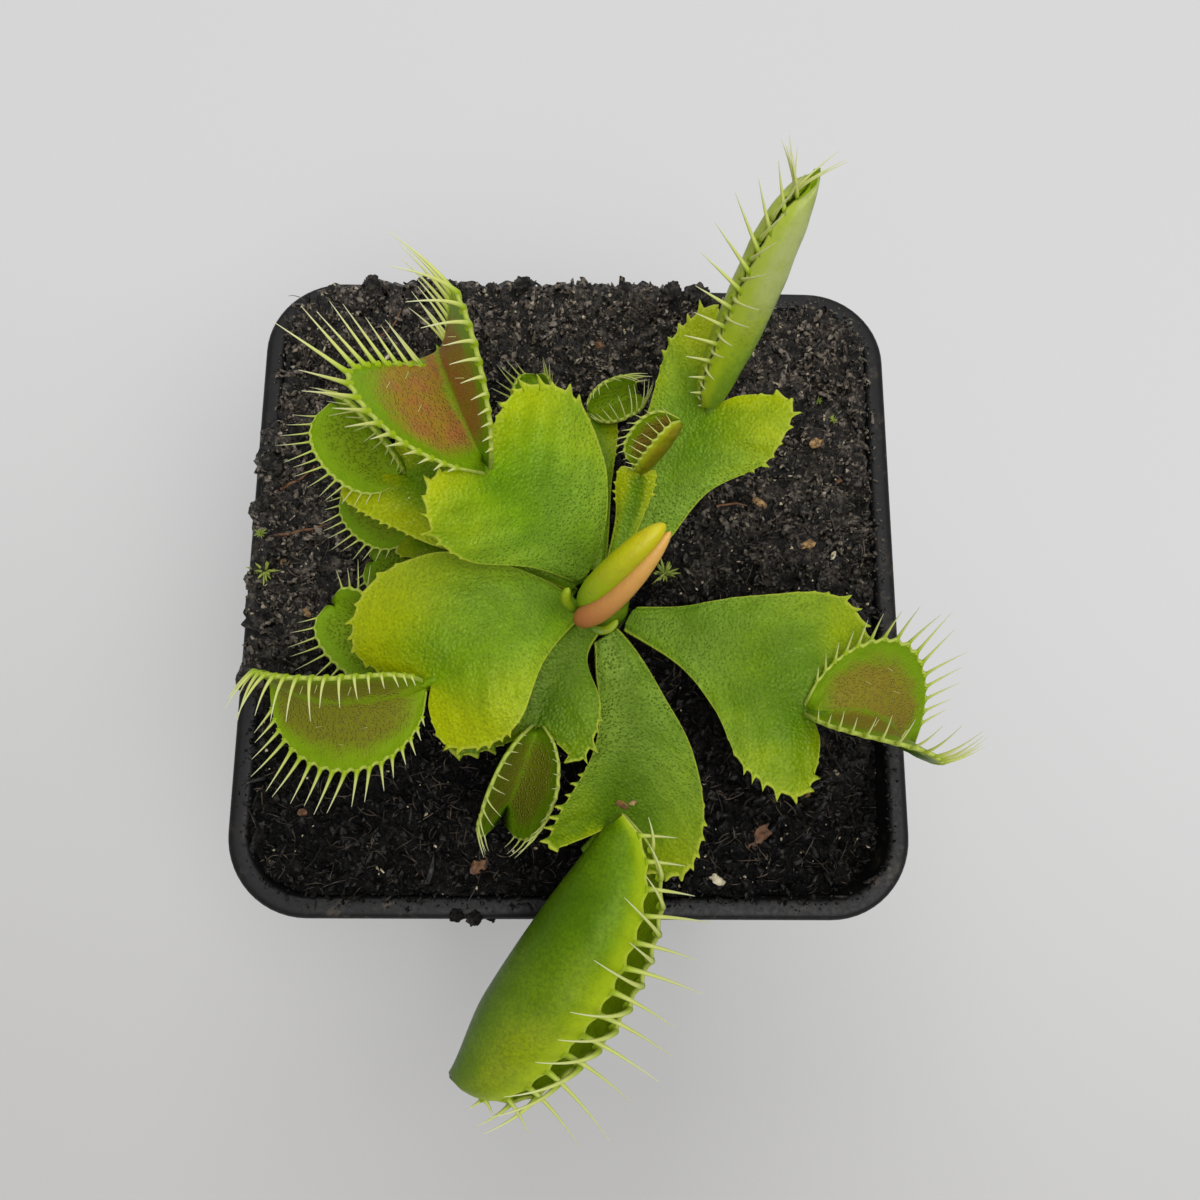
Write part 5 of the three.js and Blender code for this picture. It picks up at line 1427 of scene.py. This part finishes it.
def make_fibres():
    """Fine threads lying on the open peat, each a little bent and raised."""
    rng = np.random.default_rng(17)
    paths, radii = [], []
    while len(paths) < 3200:
        x, y = rng.uniform(-32, 32, 2)
        if peat_at(x, y)[1] < 0.6:
            continue
        length, heading = 0.6 + 2.8 * rng.random() ** 2, rng.uniform(0, 2 * math.pi)
        bend = rng.normal(0, 0.9)
        t = np.linspace(-0.5, 0.5, 6)
        turn = heading + bend * t
        px, py = x + np.cumsum(np.cos(turn)) * length / 6, y + np.cumsum(np.sin(turn)) * length / 6
        rise = rng.uniform(0.05, 0.45) * (1 - (2 * t) ** 2) + rng.normal(0, 0.12) * t * 2 + 0.12
        pz = np.array([peat_at(a, b)[0] for a, b in zip(px, py)])
        pz = np.maximum.accumulate(pz) * 0.2 + pz * 0.8 + rise
        paths.append(np.stack([px, py, pz + POT["height"]], 1))
        radii.append(rng.uniform(0.03, 0.1) * (1 - 0.5 * np.abs(2 * t)))
    return strands("peat_fibres", paths, radii, FINISH["fibres"], 3)


CLODS = [  # x, y, size of the clumps that stand out
    (-23.0, 33.2, 2.3), (-14.5, 33.4, 1.6), (-9.8, 33.0, 2.0), (-6.2, 33.4, 2.6), (1.2, 33.6, 1.5),
    (5.4, 33.4, 2.1), (10.6, 33.0, 3.0), (13.4, 33.3, 3.5), (15.8, 32.8, 2.4), (-15.5, 30.4, 2.6),
    (-32.6, 12.0, 3.0), (-33.3, 7.5, 2.6), (-33.0, 1.0, 3.0), (-33.0, -5.0, 2.6), (-30.5, 15.8, 2.6),
    (-13.2, -34.3, 1.3), (-11.5, -34.6, 1.6), (-9.7, -34.8, 1.9), (-8.1, -34.6, 1.5), (-6.0, -34.0, 1.4),
    (-3.1, -34.2, 1.1), (-16.4, -34.0, 1.2), (27.0, 20.0, 2.6), (29.6, 9.0, 2.2), (24.0, 26.0, 2.4),
    (14.5, 29.0, 2.4), (-27.0, -9.5, 2.4), (-27.5, 20.5, 2.8), (29.0, -24.5, 2.0), (-0.5, -30.8, 2.2),
    (16.0, -29.5, 2.2),
]


def make_clod(name, x, y, size, seed):
    """One larger clump of peat, sunk into the bed."""
    work = bmesh.new()
    bmesh.ops.create_icosphere(work, subdivisions=4, radius=0.5)
    rng = random.Random(seed)
    shift, stretch, turn = rng.uniform(0, 90), rng.uniform(0.65, 0.95), rng.uniform(0, math.pi)
    points = np.array([v.co for v in work.verts])
    faces = [[v.index for v in f.verts] for f in work.faces]
    work.free()
    way = points / 0.5
    bumps = 0.36 * lattice_noise(way[:, 0] * 2 + shift, way[:, 1] * 2 + way[:, 2] * 1.7, 1.1, seed, 4, 0.6)
    across = way[:, 0] * 3 - way[:, 1] * 2
    bumps = bumps + 0.3 * lattice_noise(way[:, 2] * 3 + shift, across, 0.6, seed + 1, 3, 0.65)
    points = points * (0.85 + bumps)[:, None] * [1, stretch, 0.6]
    cos, sin = math.cos(turn), math.sin(turn)
    points = points @ np.array([[cos, sin, 0], [-sin, cos, 0], [0, 0, 1]])
    dry = rng.uniform(0.3, 0.7) if y > -20 else 0.05
    # the clod's dents get the same painted shade
    values = dict(dry=np.full(len(points), dry), hollow_shade=smoothstep(0.04, -0.2, bumps))
    points = points * size + [x, y, peat_at(x, y)[0] + POT["height"] + size * 0.1]
    return mesh_object(name, points, faces, [FINISH["peat"]], None, values)


fibres = make_fibres()
clods = [make_clod(f"clod_{k}", *spot, 500 + k) for k, spot in enumerate(CLODS)]
keep(peat, "soil")
for piece in (crumbs, fine_crumbs, joined("peat_clumps", [*clods, glint_grains, rim_dirt]), fibres):
    keep(piece, None)


# ---- things lying on the peat -------------------------------------------------------------------

def make_chip(name, x, y, size, finish, seed, flat=0.45, lift=0.2, h=None):
    """One angular bit, turned at random, lying on the peat or at the given height."""
    rng = random.Random(seed)
    work = bmesh.new()
    bmesh.ops.create_icosphere(work, subdivisions=2, radius=0.5)
    turn = Matrix.Rotation(rng.uniform(0, 6), 3, "Z") @ Matrix.Rotation(rng.uniform(-0.4, 0.4), 3, "X")
    for v in work.verts:
        v.co *= rng.uniform(0.6, 1.25)
        v.co = turn @ Vector((v.co.x * size, v.co.y * size * 0.6, v.co.z * size * flat))
    h = peat_at(x, y)[0] if h is None else h
    points = [(v.co.x + x, v.co.y + y, v.co.z + h + lift + POT["height"]) for v in work.verts]
    faces = [[v.index for v in f.verts] for f in work.faces]
    work.free()
    return mesh_object(name, points, faces, [FINISH[finish]], smooth=False)


CHIPS = [  # x, y, size, finish
    (25.5, 4.6, 1.7, "bark"), (20.2, 9.2, 1.6, "bark"), (14.9, -31.0, 1.7, "perlite"),
    (26.9, 16.4, 1.8, "bark"), (19.4, -26.5, 3.2, "twig"), (28.4, 3.6, 1.0, "perlite"),
    (-28.5, -3.8, 1.4, "bark"), (-9.5, -29.8, 2.2, "twig"), (-31.0, 1.6, 1.2, "bark"),
    (29.4, 12.2, 1.0, "twig"), (2.6, 27.0, 1.6, "twig"), (-14.0, 26.0, 1.5, "twig"),
    (11.8, 24.6, 1.2, "perlite"), (-27.5, -24.4, 1.4, "twig"),
]
SCRAPS = [  # dead bits on the leaves
    (4.7, -24.1, 1.5, "scrap"), (5.7, -23.8, 0.8, "bark"), (25.1, -22.4, 1.1, "scrap")]


def leaf_top(x, y):
    """The height above the rim of whatever leaf lies on top at a place, or else of the peat."""
    hit = SHELTER.ray_cast(Vector((x * MM, y * MM, 0.14)), -UP, 0.1)[0]
    return hit.z / MM - POT["height"] if hit is not None else peat_at(x, y)[0]


chips = [make_chip(f"chip_{k}", *spot, 300 + k) for k, spot in enumerate(CHIPS)]
chips += [make_chip(f"chip_leaf_{k}", x, y, size, finish, 340 + k, 0.22, 0.08, leaf_top(x, y))
          for k, (x, y, size, finish) in enumerate(SCRAPS)]

TWIGS = [  # the line that each twig follows, and its radius
    ([(-32.6, 4.2), (-30.4, 4.6), (-28.2, 5.4), (-26.6, 5.9)], 0.22),
    ([(-31.8, 9.6), (-29.8, 10.6), (-28.4, 12.4)], 0.2),
    ([(15.6, 9.0), (17.4, 9.4), (19.0, 9.1)], 0.16),
    ([(-22, 27.0), (-20.5, 28.4), (-19.6, 30.2)], 0.16),
    ([(8.4, 21.8), (10.8, 22.8), (13.2, 22.4)], 0.14),
]
MOSS = [  # x, y, size
    (-32.6, 0.2, 1.5), (9.8, 1.3, 1.6), (-33.2, 4.2, 0.7), (29.0, 19.5, 0.6), (27.6, 22.0, 0.5)]
MOSS_LEAVES = 19  # on each sprig


def make_twigs():
    """Thin twigs that half follow the peat's ups and downs."""
    paths, radii = [], []
    for line, width in TWIGS:
        points = smooth_outline(line, 12)[0]
        z = np.array([peat_at(x, y)[0] for x, y in points])
        heights = np.full(len(z), z.mean()) * 0.5 + z * 0.5 + 0.4 + POT["height"]
        paths.append(np.stack([points[:, 0], points[:, 1], heights], 1))
        radii.append(width * np.linspace(1, 0.5, len(z)))
    return strands("twigs", paths, radii, FINISH["twig"], 6)


def make_moss():
    """Sprigs of moss: narrow leaves that lean out around each sprig's foot."""
    rng = np.random.default_rng(23)
    paths, radii, t = [], [], np.linspace(0, 1, 5)
    for x, y, size in MOSS:
        h = peat_at(x, y)[0]
        for k in range(MOSS_LEAVES):
            turn = 2 * math.pi * k / MOSS_LEAVES + rng.normal(0, 0.15)
            lean = rng.uniform(0.35, 1.25)
            reach = size * rng.uniform(0.8, 1.5)
            out = reach * math.sin(lean) * t
            up = reach * math.cos(lean) * t - 0.25 * reach * t**2 + 0.25
            line = [x + out * math.cos(turn), y + out * math.sin(turn), up + h + POT["height"]]
            paths.append(np.stack(line, 1))
            radii.append(size * 0.11 * np.sin(math.pi * (0.25 + 0.72 * t)))
    return strands("moss_sprigs", paths, radii, FINISH["moss"], 4)


for piece in [*chips, make_twigs(), make_moss()]:
    keep(piece, None)


CROWN_OUTLINE = [  # h, radius
    [-15, 0.5], [-14.6, 1.3], [-12.5, 3.3], [-9, 3.95], [-5, 3.2], [0, 2.6], [4, 2.55], [6.2, 2.35],
    [7.3, 1.8], [7.9, 0.9], [7.98, 0.2]]
ROOTS = 4


def make_rhizome():
    """The white rhizome and its roots in the peat, and the green crown where the leaf bases meet."""
    h, r = smooth_outline(CROWN_OUTLINE, 80)[0].T[:, :, None]
    angle = np.linspace(0, 2 * math.pi, 48, endpoint=False)[None]
    r = r * (1 + 0.08 * np.abs(np.sin(3.5 * angle + 0.12 * h)) * smoothstep(-1, 3, h)) * np.ones_like(angle)
    x, y = CROWN["x"] + r * np.cos(angle), CROWN["y"] + r * np.sin(angle)
    rings = np.stack([x, y, h + POT["height"] + 0 * angle], -1)
    crown = mesh_object("crown", rings.reshape(-1, 3), loft_faces(*rings.shape[:2]), [FINISH["root"]])
    paths, t = [], np.linspace(0, 1, 24)
    for k in range(ROOTS):
        points = []
        for reach, depth in ((1.6, -11), (7.8, -21), (13, -49 + 3 * k)):
            turn = 0.5 + k * math.pi / 2 + 0.03 * reach
            points.append((CROWN["x"] + reach * math.cos(turn), CROWN["y"] + reach * math.sin(turn), depth))
        paths.append(bend_through(points, t))
    roots = strands("roots", paths, [np.linspace(1.1, 0.5, 24)] * ROOTS, FINISH["root"], 10)
    keep(joined("rhizome_and_roots", [crown, roots]), "rhizome_with_roots")


make_rhizome()


# ---- floor, light and camera --------------------------------------------------------------------

bpy.ops.mesh.primitive_plane_add(size=3)
floor = bpy.context.object
floor.name = "floor"
floor.data.materials.append(FINISH["floor"])


LIT_POINT = Vector((0, 0, 0.06))  # what the lights face


def add_light(name, place, size, power):
    """A square light at that place in metres, facing the plant."""
    light = bpy.data.lights.new(name, "AREA")
    light.size, light.energy = size, power
    lamp = placed(name, light)
    lamp.location = place
    lamp.rotation_mode = "QUATERNION"
    lamp.rotation_quaternion = (LIT_POINT - Vector(place)).to_track_quat("-Z", "Y")


add_light("window", (0.2, -0.28, 1.05), 0.8, 8.6)
add_light("far_window", (-0.05, 0.85, 1.0), 0.9, 5.4)

world = bpy.data.worlds.new("room")
world.use_nodes = True
background = world.node_tree.nodes["Background"].inputs
background["Color"].default_value, background["Strength"].default_value = (1, 1, 1, 1), 0.3
bpy.context.scene.world = world
bpy.context.scene.view_settings.view_transform = "Standard"

CAMERA_PLACE = Vector((-1.22, -28.72, 180.15)) * MM
CAMERA_TILTS = ((-0.0343, "Y"), (0.2286, "X"), (0.0056, "Z"))  # in radians, from looking straight down

camera_data = bpy.data.cameras.new("camera")
camera_data.sensor_width, camera_data.lens, camera_data.clip_start = 36, 33, 0.01
camera = placed("camera", camera_data)
sideways, forwards, around = (Matrix.Rotation(angle, 4, axis) for angle, axis in CAMERA_TILTS)
camera.matrix_world = Matrix.Translation(CAMERA_PLACE) @ (sideways @ forwards @ around)
bpy.context.scene.camera = camera

# loose bits at the edge are held within the solids' box
inner_low, inner_high = np.array(CAD_BOX[0]) + 2e-5, np.array(CAD_BOX[1]) - 2e-5
for piece in bpy.context.scene.objects:
    if piece.name.startswith(("peat", "chip", "twig", "moss")):
        flat = np.empty(len(piece.data.vertices) * 3, np.float32)
        piece.data.vertices.foreach_get("co", flat)
        held = np.clip(flat.reshape(-1, 3), inner_low, inner_high)
        piece.data.vertices.foreach_set("co", held.ravel())
        piece.data.update()
